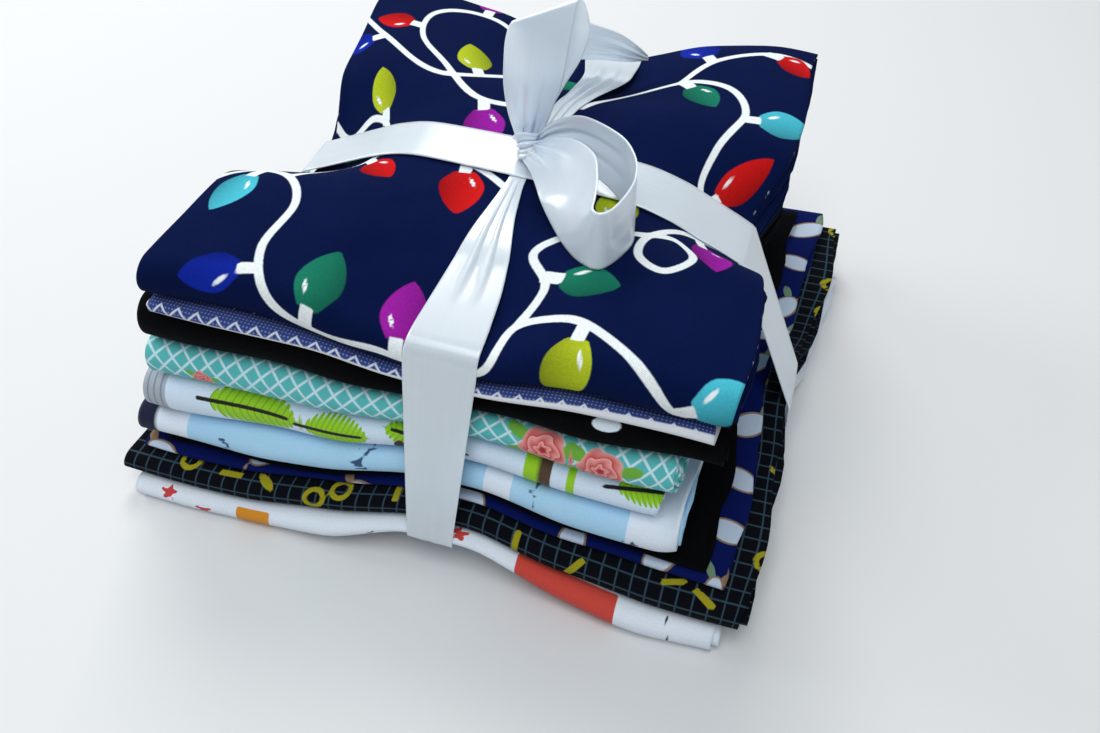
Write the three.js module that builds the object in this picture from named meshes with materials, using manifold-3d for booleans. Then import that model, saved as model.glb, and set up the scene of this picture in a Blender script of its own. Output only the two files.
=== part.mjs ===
// A bundle of ten folded fabric cuts, stacked and tied both ways with one satin ribbon in a bow.
// Millimetres. +Z is up, +X runs along the folded front edges and the folds face -Y.
// The stack is drawn about the crossing of the ribbon, and the finished group is moved so that
// its origin lies on the floor under the middle of the bundle.
import * as THREE from 'three';
import { mergeVertices } from 'three/addons/utils/BufferGeometryUtils.js';
import Module from 'manifold-3d';

const wasm = await Module();
wasm.setup();

// Driving dimensions of the ribbon
const RIBBON = { width: 25, thick: 1, clearance: 0.6, colour: 0xf2f4fa };
const HALF = RIBBON.width / 2;
const ROUGHNESS = { cloth: 0.9, satin: 0.35 };
const CROSSING = { x: 5, y: -11 };

// Driving dimensions of the stack
const CUT_GAP = 0.6; // air between one folded cut and the next
const LAYER_GAP = { 2: 0.7, 4: 1.3 }; // air between the layers of one cut, by its number of layers
const NOSE_STEPS = 6;
const FOLD_STEPS = 3;
const CORNER_STEPS = 8;
const STRAIGHT = 1e-6; // corners flatter than this are left out of an outline
const EDGE_BACK = { top: 3, inner: 9 }; // how far short of the back the cut's two ends stop
const LEAST_STEP = 2; // stations nearer than this to an end are left out

// How the tie draws the stack in: fully within half of the ribbon's middle, little at reach, not at all
// past rim, and growing inwards from reach to rim along the ribbon
const CINCH = { level: 75, half: 14, reach: 42, rim: 76, atReach: 0.35, top: 112 };
// One row for each rim: share squeezed above and below the level, and drawn inwards at the floor and top
const PULLS = {
  front: { over: 0.26, under: 0.19, tuckLow: 0.05, tuckHigh: 0 },
  back: { over: 0.3, under: 0.14, tuckLow: 0.02, tuckHigh: 0.085 },
  left: { over: 0.2, under: 0.14, tuckLow: 0.03, tuckHigh: 0.15 },
  right: { over: 0.2, under: 0.14, tuckLow: 0.025, tuckHigh: 0.1 },
};
const CHANNEL = { lift: 2.2, depth: 12 }; // groove under the lowest cut that takes the ribbon
const CROWN = { rise: 6, edge: 106, underRibbon: 0.6 }; // puff between the ribbon's turns, less under them

// One row for each cut, from the floor up. left, right, front and back are its edges, flare is how much
// further right its back corner reaches, and highLeft and highRight are its folded height at each end.
const CUTS = [
  { name: 'white_coral', colour: 0xe9edf4, layers: 4,
    left: -122, right: 109, front: -121.5, back: 84, flare: 20, highLeft: 9, highRight: 12.5 },
  { name: 'black_windowpane', colour: 0x0b0d12, layers: 4,
    left: -127, right: 117, front: -117, back: 103, flare: 9, highLeft: 8.7, highRight: 13 },
  { name: 'navy_sprig', colour: 0x131c5a, layers: 2,
    left: -121, right: 109, front: -109, back: 107, flare: 7, highLeft: 2.9, highRight: 4.5 },
  { name: 'black_thin', colour: 0x08080b, layers: 2,
    left: -112, right: 101, front: -106, back: 100, flare: 3, highLeft: 2.9, highRight: 3.6 },
  { name: 'sky_panel', colour: 0xbfdcf0, layers: 4,
    left: -121, right: 90, front: -109, back: 97, flare: 0, highLeft: 13.6, highRight: 17.4 },
  { name: 'white_fern', colour: 0xdfe2ee, layers: 4,
    left: -115, right: 81, front: -106, back: 95, flare: 2, highLeft: 19.2, highRight: 12.5 },
  { name: 'aqua_trellis', colour: 0x63bdb4, layers: 4,
    left: -108, right: 86, front: -105, back: 96, flare: 0, highLeft: 17, highRight: 15 },
  { name: 'black_plain', colour: 0x060608, layers: 4,
    left: -107, right: 99, front: -103, back: 99, flare: -2, highLeft: 18.5, highRight: 13.9 },
  { name: 'blue_triangle', colour: 0x3a56a8, layers: 2,
    left: -100, right: 94, front: -104, back: 94, flare: 0, highLeft: 4.9, highRight: 4.6 },
  { name: 'navy_lights', colour: 0x0d1740, layers: 4,
    left: -100, right: 100, front: -102, back: 101, flare: -2, highLeft: 14.5, highRight: 14.5 },
];
const HIGH_SPAN = { left: -125, right: 120 }; // where highLeft and highRight are measured
const TOP_CUT = CUTS.length - 1;

// Bow: one row for each section of the ribbon, from the knot on. One edge is at x, y and rise, the other at
// toX, toY and toRise, both rises over the top cut at the knot.
const KNOT = { radiusX: 6.5, radiusY: 6, radiusZ: 5.5, rise: 6.2, around: 14, rings: 10 };
const UPRIGHT_LOOP = [
  { x: 3, y: -13, rise: 5, toX: 7, toY: -9, toRise: 5 },
  { x: 0, y: -11, rise: 11, toX: 9.5, toY: -6, toRise: 11 },
  { x: -2, y: -12, rise: 20, toX: 12.5, toY: -5.5, toRise: 20 },
  { x: -2.8, y: -13.2, rise: 30, toX: 16, toY: -6.5, toRise: 31.5 },
  { x: -2.6, y: -13.5, rise: 39, toX: 17, toY: -4.5, toRise: 41 },
  { x: -2, y: -13, rise: 47, toX: 17.8, toY: -1.5, toRise: 50 },
  { x: -0.5, y: -11.5, rise: 52.5, toX: 18.3, toY: 2.5, toRise: 56.5 },
  { x: 1, y: -7.5, rise: 51, toX: 20, toY: 5, toRise: 54 },
  { x: 2, y: -4.5, rise: 45, toX: 22.2, toY: 4, toRise: 45.5 },
  { x: 2.5, y: -3, rise: 36, toX: 19.5, toY: 3.5, toRise: 35 },
  { x: 3, y: -3.5, rise: 26, toX: 14, toY: 3, toRise: 24 },
  { x: 4, y: -6, rise: 15, toX: 9.5, toY: -1, toRise: 14 },
  { x: 4, y: -8, rise: 5, toX: 7, toY: -5, toRise: 5 },
];
const STANDING_LOOP = [
  { x: 3, y: -14, rise: 3.5, toX: 8, toY: -9, toRise: 7.5 },
  { x: 9.5, y: -24, rise: 6, toX: 22, toY: -18.5, toRise: 18 },
  { x: 15, y: -34, rise: 8, toX: 34, toY: -31.5, toRise: 23.5 },
  { x: 19, y: -41, rise: 7.5, toX: 39, toY: -44, toRise: 24.3 },
  { x: 24.5, y: -47, rise: 4, toX: 41, toY: -54, toRise: 23.8 },
  { x: 31.5, y: -54, rise: 1.2, toX: 42, toY: -60.5, toRise: 23.8 },
  { x: 39, y: -60.5, rise: 0.9, toX: 45, toY: -62, toRise: 24 },
  { x: 46, y: -63, rise: 0.9, toX: 48, toY: -58, toRise: 24 },
  { x: 51, y: -55.5, rise: 0.9, toX: 50.3, toY: -48.5, toRise: 24 },
  { x: 52.5, y: -45, rise: 1.2, toX: 50.5, toY: -40, toRise: 24.3 },
  { x: 48, y: -33.5, rise: 2, toX: 47.5, toY: -30, toRise: 24.5 },
  { x: 39, y: -23, rise: 3.5, toX: 40, toY: -20.5, toRise: 24.5 },
  { x: 26, y: -14.5, rise: 4.5, toX: 24.5, toY: -11, toRise: 22.5 },
  { x: 15, y: -9.5, rise: 4.5, toX: 13, toY: -6.5, toRise: 15 },
  { x: 8, y: -10, rise: 3.5, toX: 6.5, toY: -7, toRise: 8 },
];
const TAIL = [
  { x: 5, y: -7, rise: 4, toX: 5, toY: -7, toRise: 9 },
  { x: -2, y: 6, rise: 2.5, toX: -3.5, toY: 7, toRise: 15 },
  { x: -6.5, y: 24, rise: 1.5, toX: -8.5, toY: 25, toRise: 22 },
  { x: -5, y: 44, rise: 1.2, toX: -6, toY: 42, toRise: 24 },
  { x: 2, y: 59, rise: 0.8, toX: 4, toY: 53, toRise: 22 },
  { x: 10, y: 62.5, rise: 0.8, toX: 11, toY: 57, toRise: 19 },
  { x: 18, y: 64, rise: 0.8, toX: 19.5, toY: 61, toRise: 15 },
  { x: 25, y: 65.5, rise: 0.8, toX: 26, toY: 65, toRise: 9 },
  { x: 30, y: 68.5, rise: 0.9, toX: 30.3, toY: 68.7, toRise: 3 },
];
const BOW = { stepsARow: 2, seat: 1.1 }; // sections for each row, and least height of an edge over the cloth
// The front turn on top of the stack, by depth from the crossing: how far its middle lies to the right, and
// its half width
const LEG = [
  { ahead: -95, aside: 0, half: HALF },
  { ahead: -82, aside: 0.6, half: 12.2 },
  { ahead: -64, aside: 1.4, half: 10.6 },
  { ahead: -49, aside: 1.2, half: 8.6 },
  { ahead: -32, aside: 0.4, half: 5.4 },
  { ahead: -14, aside: 0, half: 3 },
  { ahead: 0, aside: 0, half: 3.2 },
  { ahead: 20, aside: 1.8, half: 4 },
  { ahead: 50, aside: 5.8, half: 5.6 },
  { ahead: 66, aside: 9.5, half: 8.2 },
  { ahead: 74, aside: 10.5, half: 9.6 },
  { ahead: 92, aside: 8, half: 12 },
  { ahead: 104, aside: 6.5, half: HALF },
];
const LEG_REACH = 20; // how far right of the crossing the leg's edge lies behind the knot
// Half width of the front turn where it is drawn under, over the heights low to high, and of the side turn
// at the left
const GATHER = { below: 8.5, low: 15, high: 95, left: 10 };

// Straight ramp from 0 at low to 1 at high, level outside them
const ramp = (low, high, value) => THREE.MathUtils.clamp((value - low) / (high - low), 0, 1);
const underRibbon = (distance) => 1 - ramp(CINCH.half, CINCH.reach, Math.abs(distance));
function nearRibbon(distance) {
  const far = CINCH.atReach * (1 - ramp(CINCH.reach, CINCH.rim, Math.abs(distance)));
  return far + (1 - CINCH.atReach) * underRibbon(distance);
}
const atRim = (distance) => ramp(CINCH.reach, CINCH.rim, distance);

// How strongly each rim is drawn in at a place of the stack
function pullsAt(x, y) {
  const [acrossX, acrossY] = [x - CROSSING.x, y - CROSSING.y];
  return [
    [PULLS.front, nearRibbon(acrossX) * atRim(-acrossY)],
    [PULLS.back, nearRibbon(acrossX) * atRim(acrossY)],
    [PULLS.left, nearRibbon(acrossY) * atRim(-acrossX)],
    [PULLS.right, nearRibbon(acrossY) * atRim(acrossX)],
  ];
}

// Where a point of the loose stack goes when the ribbon is drawn tight
function settle(x, y, z) {
  const pulls = pullsAt(x, y);
  const tuckAt = ({ tuckLow, tuckHigh }) => THREE.MathUtils.lerp(tuckLow, tuckHigh, z / CINCH.top);
  const [front, back, left, right] = pulls.map(([pull, weight]) => weight * tuckAt(pull));
  const squeezes = pulls.map(([pull, weight]) => weight * (z > CINCH.level ? pull.over : pull.under));
  const squeeze = squeezes.reduce((sum, share) => sum + share);
  const groove = Math.max(underRibbon(x - CROSSING.x), underRibbon(y - CROSSING.y));
  const drawnIn = CINCH.level + (z - CINCH.level) * (1 - squeeze);
  return new THREE.Vector3(
    x * (1 - left - right),
    y * (1 - front - back),
    drawnIn + CHANNEL.lift * groove * Math.max(0, 1 - z / CHANNEL.depth),
  );
}

function highAt(cut, x) {
  return THREE.MathUtils.mapLinear(x, HIGH_SPAN.left, HIGH_SPAN.right, cut.highLeft, cut.highRight);
}
const floorOf = (index, x) => CUTS.slice(0, index).reduce((sum, cut) => sum + highAt(cut, x), 0);

// How far the top cut puffs up between the ribbon's turns
function crown(x, y) {
  const bulge = (t) => Math.max(0, 1 - (t / CROWN.edge) ** 4);
  const pressed = Math.max(underRibbon(x - CROSSING.x), underRibbon(y - CROSSING.y));
  return CROWN.rise * bulge(x) * bulge(y) * (1 - CROWN.underRibbon * pressed);
}

// A point of a cut, at a share of its folded height
function placed(index, x, y, share) {
  const lifted = index === TOP_CUT ? crown(x, y) * share : 0;
  return settle(x, y, floorOf(index, x) + share * (highAt(CUTS[index], x) - CUT_GAP) + lifted);
}
const topOf = (x, y) => placed(TOP_CUT, x, y, 1).z;

// Stations shared by all cuts, so that neighbours bend alike
const STEPS = [-CINCH.rim, -CINCH.reach, -CINCH.half, CINCH.half, CINCH.reach, CINCH.rim];
const X_STATIONS = STEPS.map((step) => CROSSING.x + step);
const Y_STATIONS = STEPS.map((step) => CROSSING.y + step);
function between(stations, from, to) {
  const [low, high] = [Math.min(from, to) + LEAST_STEP, Math.max(from, to) - LEAST_STEP];
  return stations.filter((at) => at > low && at < high);
}

// Points of a half turn about (y, middle), from angle one to angle two in quarter turns
function halfTurn(y, middle, radius, from, to, steps) {
  return Array.from({ length: steps - 1 }, (_, i) => {
    const angle = (Math.PI / 2) * (from + ((to - from) * (i + 1)) / steps);
    return { y: y + radius * Math.cos(angle), h: middle + radius * Math.sin(angle) };
  });
}

// Straight run of a layer between two depths, with the shared stations that it passes
function run(h, from, to) {
  const inside = between(Y_STATIONS, from, to);
  if (to < from) inside.reverse();
  return [from, ...inside, to].map((y) => ({ y, h }));
}

// Centre line of a folded cut: top layer to the front, round the nose, back along the floor layer,
// and for four layers up at the back and round once more inside
function foldLine(cut, high, sheet) {
  const pitch = (high - sheet) / (cut.layers - 1);
  const level = (n) => sheet / 2 + n * pitch;
  const noseY = cut.front + high / 2;
  const nose = (low, top) => halfTurn(noseY, (low + top) / 2, (top - low) / 2, 1, 3, NOSE_STEPS);
  const top = cut.layers - 1;
  const line = [...run(level(top), cut.back - EDGE_BACK.top, noseY), ...nose(level(0), level(top))];
  if (cut.layers === 2) return [...line, ...run(level(0), noseY, cut.back)];
  const foldY = cut.back - (pitch + sheet) / 2;
  return [
    ...line,
    ...run(level(0), noseY, foldY),
    ...halfTurn(foldY, (level(0) + level(1)) / 2, pitch / 2, -1, 1, FOLD_STEPS),
    ...run(level(1), foldY, noseY),
    ...halfTurn(noseY, (level(1) + level(2)) / 2, pitch / 2, 3, 1, FOLD_STEPS),
    ...run(level(2), noseY, cut.back - EDGE_BACK.inner),
  ];
}

// Outline of the sheet that follows a centre line, half its thickness to each side
function sheetOutline(line, sheet) {
  const side = (sign) =>
    line.map((point, i) => {
      const before = line[Math.max(i - 1, 0)];
      const after = line[Math.min(i + 1, line.length - 1)];
      const along = new THREE.Vector2(after.y - before.y, after.h - before.h).normalize();
      const out = (sign * sheet) / 2;
      return new THREE.Vector2(point.y - along.y * out, point.h + along.x * out);
    });
  return [...side(1), ...side(-1).reverse()];
}

// Faces that close a ring of points whose second half runs back beside the first
function stripFaces(size) {
  return Array.from({ length: size / 2 - 1 }, (_, i) => [
    [i, i + 1, size - 2 - i],
    [i, size - 2 - i, size - 1 - i],
  ]).flat();
}

// Closed mesh through rings of points, with a cap at each end or the last ring joined to the first
function skin(rings, capFaces) {
  const size = rings[0].length;
  const faces = [];
  const spans = capFaces ? rings.length - 1 : rings.length;
  for (let s = 0; s < spans; s++) {
    const here = s * size;
    const next = ((s + 1) % rings.length) * size;
    for (let i = 0; i < size; i++) {
      const j = (i + 1) % size;
      const [a, b, c, d] = [here + i, next + i, next + j, here + j];
      // faces that lie on each other are split along the same diagonal
      if (rings[s][i].y > rings[s][j].y) faces.push(a, b, c, a, c, d);
      else faces.push(a, b, d, b, c, d);
    }
  }
  const last = (rings.length - 1) * size;
  for (const [a, b, c] of capFaces ?? []) faces.push(a, b, c, last + a, last + c, last + b);
  const geometry = new THREE.BufferGeometry().setFromPoints(rings.flat());
  geometry.setIndex(faces);
  return facingOut(geometry);
}

// Turns the faces round where they enclose a negative volume
function facingOut(geometry) {
  const { array: index } = geometry.index;
  const corner = (n) => new THREE.Vector3().fromBufferAttribute(geometry.attributes.position, index[n]);
  let volume = 0;
  for (let n = 0; n < index.length; n += 3) volume += corner(n).dot(corner(n + 1).cross(corner(n + 2)));
  if (volume > 0) return geometry;
  for (let n = 0; n < index.length; n += 3) {
    [index[n + 1], index[n + 2]] = [index[n + 2], index[n + 1]];
  }
  return geometry;
}

const meanHigh = (cut) => (cut.highLeft + cut.highRight) / 2;
function cutOutline(cut) {
  const sheet = (meanHigh(cut) - (cut.layers - 1) * LAYER_GAP[cut.layers]) / cut.layers;
  return sheetOutline(foldLine(cut, meanHigh(cut), sheet), sheet);
}

// One folded cut as a closed solid
function foldedCut(index) {
  const cut = CUTS[index];
  const outline = cutOutline(cut);
  const stations = [cut.left, ...between(X_STATIONS, cut.left, cut.right), cut.right];
  const rings = stations.map((station, s) =>
    outline.map(({ x: y, y: h }) => {
      const depth = (y - cut.front) / (cut.back - cut.front);
      const reach = s === stations.length - 1 ? cut.flare * depth : 0;
      return placed(index, station + reach, y, h / meanHigh(cut));
    }),
  );
  return skin(rings, stripFaces(outline.length));
}

// Ribbon through sections { centre, across, half }, as a flat band of even thickness
function band(sections, closed) {
  const count = sections.length;
  const at = (i) => sections[closed ? (i + count) % count : THREE.MathUtils.clamp(i, 0, count - 1)];
  const rings = sections.map(({ centre, across, half }, i) => {
    const along = at(i + 1).centre.clone().sub(at(i - 1).centre);
    const face = along.cross(across).setLength(RIBBON.thick / 2);
    const edge = across.clone().setLength(half);
    const corner = (a, b) => centre.clone().addScaledVector(edge, a).addScaledVector(face, b);
    return [corner(-1, -1), corner(1, -1), corner(1, 1), corner(-1, 1)];
  });
  return skin(rings, closed ? null : stripFaces(4));
}

// Convex outline of flat points, anticlockwise
function tautOutline(points) {
  const sorted = [...points].sort((a, b) => a.x - b.x || a.y - b.y);
  const turn = (o, a, b) => (a.x - o.x) * (b.y - o.y) - (a.y - o.y) * (b.x - o.x);
  const chain = (list) => {
    const kept = [];
    for (const point of list) {
      while (kept.length > 1 && turn(kept.at(-2), kept.at(-1), point) <= STRAIGHT) kept.pop();
      kept.push(point);
    }
    return kept.slice(0, -1);
  };
  return [...chain(sorted), ...chain(sorted.reverse())];
}

// Outline of the stack cut through at the ribbon, drawn tight and moved out by the ribbon's clearance
function wrapOutline(flatten, across) {
  const offset = RIBBON.clearance + RIBBON.thick / 2;
  const turn = (2 * Math.PI) / CORNER_STEPS;
  const step = (i) => new THREE.Vector2(offset, 0).rotateAround(new THREE.Vector2(), turn * i);
  const ring = Array.from({ length: CORNER_STEPS }, (_, i) => step(i));
  const points = CUTS.flatMap((cut, index) => across(cut, index).map(flatten));
  return tautOutline(points.flatMap((point) => ring.map((away) => point.clone().add(away))));
}

// Middle and half width of the front turn on top of the stack
function legAt(y) {
  const ahead = THREE.MathUtils.clamp(y - CROSSING.y, LEG[0].ahead, LEG.at(-1).ahead);
  const next = Math.max(1, LEG.findIndex((row) => row.ahead >= ahead));
  const [from, to] = [LEG[next - 1], LEG[next]];
  const mix = ramp(from.ahead, to.ahead, ahead);
  return {
    aside: THREE.MathUtils.lerp(from.aside, to.aside, mix),
    half: THREE.MathUtils.lerp(from.half, to.half, mix),
  };
}

// An outline with more points along its top, at the depths where the leg changes
function withLegSteps(outline) {
  const depths = LEG.map(({ ahead }) => CROSSING.y + ahead);
  return outline.flatMap((here, i) => {
    const next = outline[(i + 1) % outline.length];
    if (Math.min(here.y, next.y) < CINCH.level) return [here];
    const inside = between(depths, here.x, next.x);
    if (next.x > here.x) inside.sort((a, b) => a - b);
    else inside.sort((a, b) => b - a);
    return [here, ...inside.map((depth) => here.clone().lerp(next, (depth - here.x) / (next.x - here.x)))];
  });
}

// Turn of ribbon from front to back, gathered where it reaches the knot
function frontTurn() {
  const acrossFront = (cut, index) =>
    cutOutline(cut).flatMap(({ x: y, y: h }) => {
      const places = y > CROSSING.y ? [CROSSING.x, CROSSING.x + LEG_REACH] : [CROSSING.x];
      return places.map((x) => placed(index, x, y, h / meanHigh(cut)));
    });
  const outline = withLegSteps(wrapOutline((p) => new THREE.Vector2(p.y, p.z), acrossFront));
  const sections = outline.map(({ x: y, y: z }) => {
    const onTop = z > topOf(CROSSING.x, y) - 1;
    const leg = legAt(y);
    const down = ramp(GATHER.low, GATHER.high, z);
    const sideHalf = y < CROSSING.y ? THREE.MathUtils.lerp(GATHER.below, HALF, down) : HALF;
    const half = onTop ? leg.half : sideHalf;
    const aside = onTop ? leg.aside : sideHalf - HALF + (y > CROSSING.y ? LEG.at(-1).aside * down : 0);
    return { centre: new THREE.Vector3(CROSSING.x + aside, y, z), across: new THREE.Vector3(1, 0, 0), half };
  });
  return band(sections, true);
}

// Turn of ribbon from side to side
function sideTurn() {
  const acrossSide = (cut, index) => {
    const depth = (CROSSING.y + CINCH.half - cut.front) / (cut.back - cut.front);
    const right = cut.right + Math.max(0, cut.flare * depth);
    const stations = [cut.left, ...between(X_STATIONS, cut.left, right), right];
    return stations.flatMap((x) => [0, 1].map((share) => placed(index, x, CROSSING.y, share)));
  };
  const outline = wrapOutline((p) => new THREE.Vector2(p.x, p.z), acrossSide);
  const sections = outline.map(({ x, y: z }) => ({
    centre: new THREE.Vector3(x, CROSSING.y, z),
    across: new THREE.Vector3(0, 1, 0),
    half: THREE.MathUtils.lerp(GATHER.left, HALF, ramp(-CINCH.rim, CINCH.rim, x)),
  }));
  return band(sections, true);
}

const knotTop = topOf(CROSSING.x, CROSSING.y) + KNOT.rise;

// Ribbon of the bow through a table of its edges, on smooth curves that stay clear of the top cut
function bowRibbon(rows) {
  const seated = (x, y, rise) =>
    new THREE.Vector3(x, y, Math.max(knotTop - KNOT.rise + rise, topOf(x, y) + BOW.seat));
  const one = new THREE.CatmullRomCurve3(rows.map(({ x, y, rise }) => seated(x, y, rise)));
  const other = new THREE.CatmullRomCurve3(rows.map(({ toX, toY, toRise }) => seated(toX, toY, toRise)));
  const steps = BOW.stepsARow * (rows.length - 1);
  const sections = Array.from({ length: steps + 1 }, (_, i) => {
    const [here, there] = [one.getPoint(i / steps), other.getPoint(i / steps)];
    const across = there.clone().sub(here);
    return { centre: here.add(there).multiplyScalar(0.5), across, half: across.length() / 2 };
  });
  return band(sections, false);
}

function knot() {
  return new THREE.SphereGeometry(1, KNOT.around, KNOT.rings)
    .scale(KNOT.radiusX, KNOT.radiusY, KNOT.radiusZ)
    .translate(CROSSING.x, CROSSING.y, knotTop);
}

// A closed mesh as a solid that can be joined
function solid(geometry) {
  const bare = geometry.clone().deleteAttribute('normal').deleteAttribute('uv');
  const merged = mergeVertices(bare);
  const vertProperties = merged.attributes.position.array;
  const triVerts = new Uint32Array(merged.index.array);
  return new wasm.Manifold(new wasm.Mesh({ numProp: 3, vertProperties, triVerts }));
}

// The whole ribbon is one length, so its turns, knot, loops and free end are joined
function ribbonTie() {
  const bow = [UPRIGHT_LOOP, STANDING_LOOP, TAIL].map(bowRibbon);
  const pieces = [frontTurn(), sideTurn(), knot(), ...bow].map(solid);
  const { vertProperties, triVerts } = pieces.reduce((joined, piece) => joined.add(piece)).getMesh();
  const geometry = new THREE.BufferGeometry();
  geometry.setAttribute('position', new THREE.BufferAttribute(vertProperties, 3));
  geometry.setIndex(new THREE.BufferAttribute(triVerts, 1));
  return geometry;
}

function named(name, geometry, colour, roughness) {
  geometry.computeVertexNormals();
  const material = new THREE.MeshStandardMaterial({ color: colour, roughness, metalness: 0 });
  const mesh = new THREE.Mesh(geometry, material);
  mesh.name = name;
  return mesh;
}

const bundle = new THREE.Group();
const stack = new THREE.Group();
CUTS.forEach((cut, index) => stack.add(named(cut.name, foldedCut(index), cut.colour, ROUGHNESS.cloth)));
stack.add(named('ribbon_tie', ribbonTie(), RIBBON.colour, ROUGHNESS.satin));
bundle.add(stack);

// The origin goes on the floor under the middle of the bundle
const middle = new THREE.Box3().setFromObject(stack).getCenter(new THREE.Vector3());
stack.position.set(-middle.x, -middle.y, 0);

export default bundle;
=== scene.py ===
import bpy
import math
import numpy as np
from mathutils import Matrix, Vector


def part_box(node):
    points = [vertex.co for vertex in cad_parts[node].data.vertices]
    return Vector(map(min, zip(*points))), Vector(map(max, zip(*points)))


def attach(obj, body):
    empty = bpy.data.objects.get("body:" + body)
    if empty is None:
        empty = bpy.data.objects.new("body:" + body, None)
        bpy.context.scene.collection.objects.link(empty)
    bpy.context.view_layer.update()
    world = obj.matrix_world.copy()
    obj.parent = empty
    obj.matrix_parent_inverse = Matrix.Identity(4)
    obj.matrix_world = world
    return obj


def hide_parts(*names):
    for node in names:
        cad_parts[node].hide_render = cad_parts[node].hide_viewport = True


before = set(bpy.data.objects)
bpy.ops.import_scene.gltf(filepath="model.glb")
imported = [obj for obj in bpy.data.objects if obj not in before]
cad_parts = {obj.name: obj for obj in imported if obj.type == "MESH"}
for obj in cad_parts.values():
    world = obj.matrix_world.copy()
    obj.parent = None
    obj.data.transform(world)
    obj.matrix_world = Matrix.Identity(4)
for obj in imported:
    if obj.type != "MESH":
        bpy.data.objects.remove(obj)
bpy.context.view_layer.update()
mm = 0.001
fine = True
print("stage: frame loaded")

# The tied stack, in millimetres, drawn about the top cut and moved onto the CAD solids by shift
stack = {
    "crossX": 5, "crossY": -11, "cutGap": 0.6,  # where the ribbon crosses, and the air between two cuts
    "level": 75, "levelSoft": 8, "top": 112, "pullPower": 0.75,  # cloth is squeezed towards the level
    "half": 14, "reach": 42, "rim": 76, "atReach": 0.35,  # how far the front turn pulls
    "sideHalf": 12, "sideReach": 34, "atSideReach": 0.1, "backReach": 96,  # how far the side turn pulls
    "straightFrom": 44, "straightOver": 12,  # heights where the left edge turns straight
    "roundEdge": 0.03, "roundFrom": 97, "roundOver": 16, "roundMost": 1.2,  # rounded rims at the side turn
    "edgeDrop": 0.3, "dropFrom": 60, "dropOver": 37,  # cloth pressed down at the ends of the side turn
    "grooveLift": 2.2, "grooveDepth": 12,  # room for the ribbon under the stack
    "ripple": 0.8, "rippleLong": 90, "rippleTilt": 0.35, "rippleFrom": 6, "rippleOver": 40,  # slow waves
    "crown": 6.4, "crownEdge": 106, "crownPressed": 0.6, "crownPower": 7, "crownWave": 0.7, "crownLong": 60,
    "spanLeft": -125, "spanRight": 120, "flareFrom": 81,
    "nearFold": 24.5, "nearEnd": 14, "hidden": 9, "hiddenStep": 6,  # mesh by the fold, the ends and inside
}
# share squeezed over and under the level, and drawn inwards at the floor and at the top
pulls = {
    "front": (0.26, 0.19, 0.05, 0.0),
    "back": (0.30, 0.14, 0.02, 0.085),
    "left": (0.20, 0.14, 0.03, 0.15),
    "right": (0.20, 0.14, 0.025, 0.10),
}
# from the floor up: edges, extra reach of the back right corner, folded height at each end, visible layers,
# sheet thickness, and spacing of the mesh along the folds and along the visible top
cuts = [
    {"name": "white_coral", "left": -122, "right": 109, "front": -121.5, "back": 84, "flare": 20,
     "highLeft": 9, "highRight": 12.5, "layers": 6, "sheet": 1.1, "dx": 1.7, "top": 2.4, "ledge": 36},
    {"name": "black_windowpane", "left": -127, "right": 117, "front": -117, "back": 103, "flare": 9,
     "highLeft": 8.7, "highRight": 13, "layers": 6, "sheet": 1.1, "dx": 1.7, "top": 2.0, "ledge": 36},
    {"name": "navy_sprig", "left": -121, "right": 109, "front": -109, "back": 107, "flare": 7,
     "highLeft": 2.9, "highRight": 4.5, "layers": 2, "sheet": 1.1, "dx": 1.7, "top": 1.8, "ledge": 36},
    {"name": "black_thin", "left": -112, "right": 101, "front": -106, "back": 100, "flare": 3,
     "highLeft": 2.9, "highRight": 3.6, "layers": 2, "sheet": 1.0, "dx": 3.2, "top": 4.0, "ledge": 36},
    {"name": "sky_panel", "left": -121, "right": 90, "front": -109, "back": 97, "flare": 0,
     "highLeft": 13.6, "highRight": 17.4, "layers": 8, "sheet": 1.2, "dx": 1.8, "top": 6.0, "curl": 6},
    {"name": "white_fern", "left": -115, "right": 81, "front": -106, "back": 95, "flare": 2,
     "highLeft": 19.2, "highRight": 12.5, "layers": 8, "sheet": 1.2, "dx": 1.6, "top": 6.0},
    {"name": "aqua_trellis", "left": -108, "right": 86, "front": -105, "back": 96, "flare": 0,
     "highLeft": 17, "highRight": 15, "layers": 8, "sheet": 1.2, "dx": 1.6, "top": 6.0},
    {"name": "black_plain", "left": -107, "right": 99, "front": -103, "back": 99, "flare": -2,
     "highLeft": 18.5, "highRight": 13.9, "layers": 8, "sheet": 1.2, "dx": 2.2, "top": 6.0,
     "leftPull": 0.075},
    {"name": "blue_triangle", "left": -100, "right": 94, "front": -104, "back": 94, "flare": 0,
     "highLeft": 4.9, "highRight": 4.6, "layers": 4, "sheet": 0.9, "dx": 1.6, "top": 6.0, "leftPull": 0.012},
    {"name": "navy_lights", "left": -100, "right": 100, "front": -102, "back": 101, "flare": -2,
     "highLeft": 14.5, "highRight": 14.5, "layers": 8, "sheet": 1.1, "dx": 1.25, "top": 1.25, "flareLeft": 5},
]
byName = {cut["name"]: k for k, cut in enumerate(cuts)}
topCut = len(cuts) - 1
shift = np.array([
    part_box("black_windowpane")[0].x / mm - cuts[byName["black_windowpane"]]["left"],
    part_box("white_coral")[0].y / mm - cuts[byName["white_coral"]]["front"],
    0.0,
])


# 0 up to the start, then rising to 1
def ramp(value, start, over):
    return np.clip((value - start) / over, 0, 1)


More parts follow.
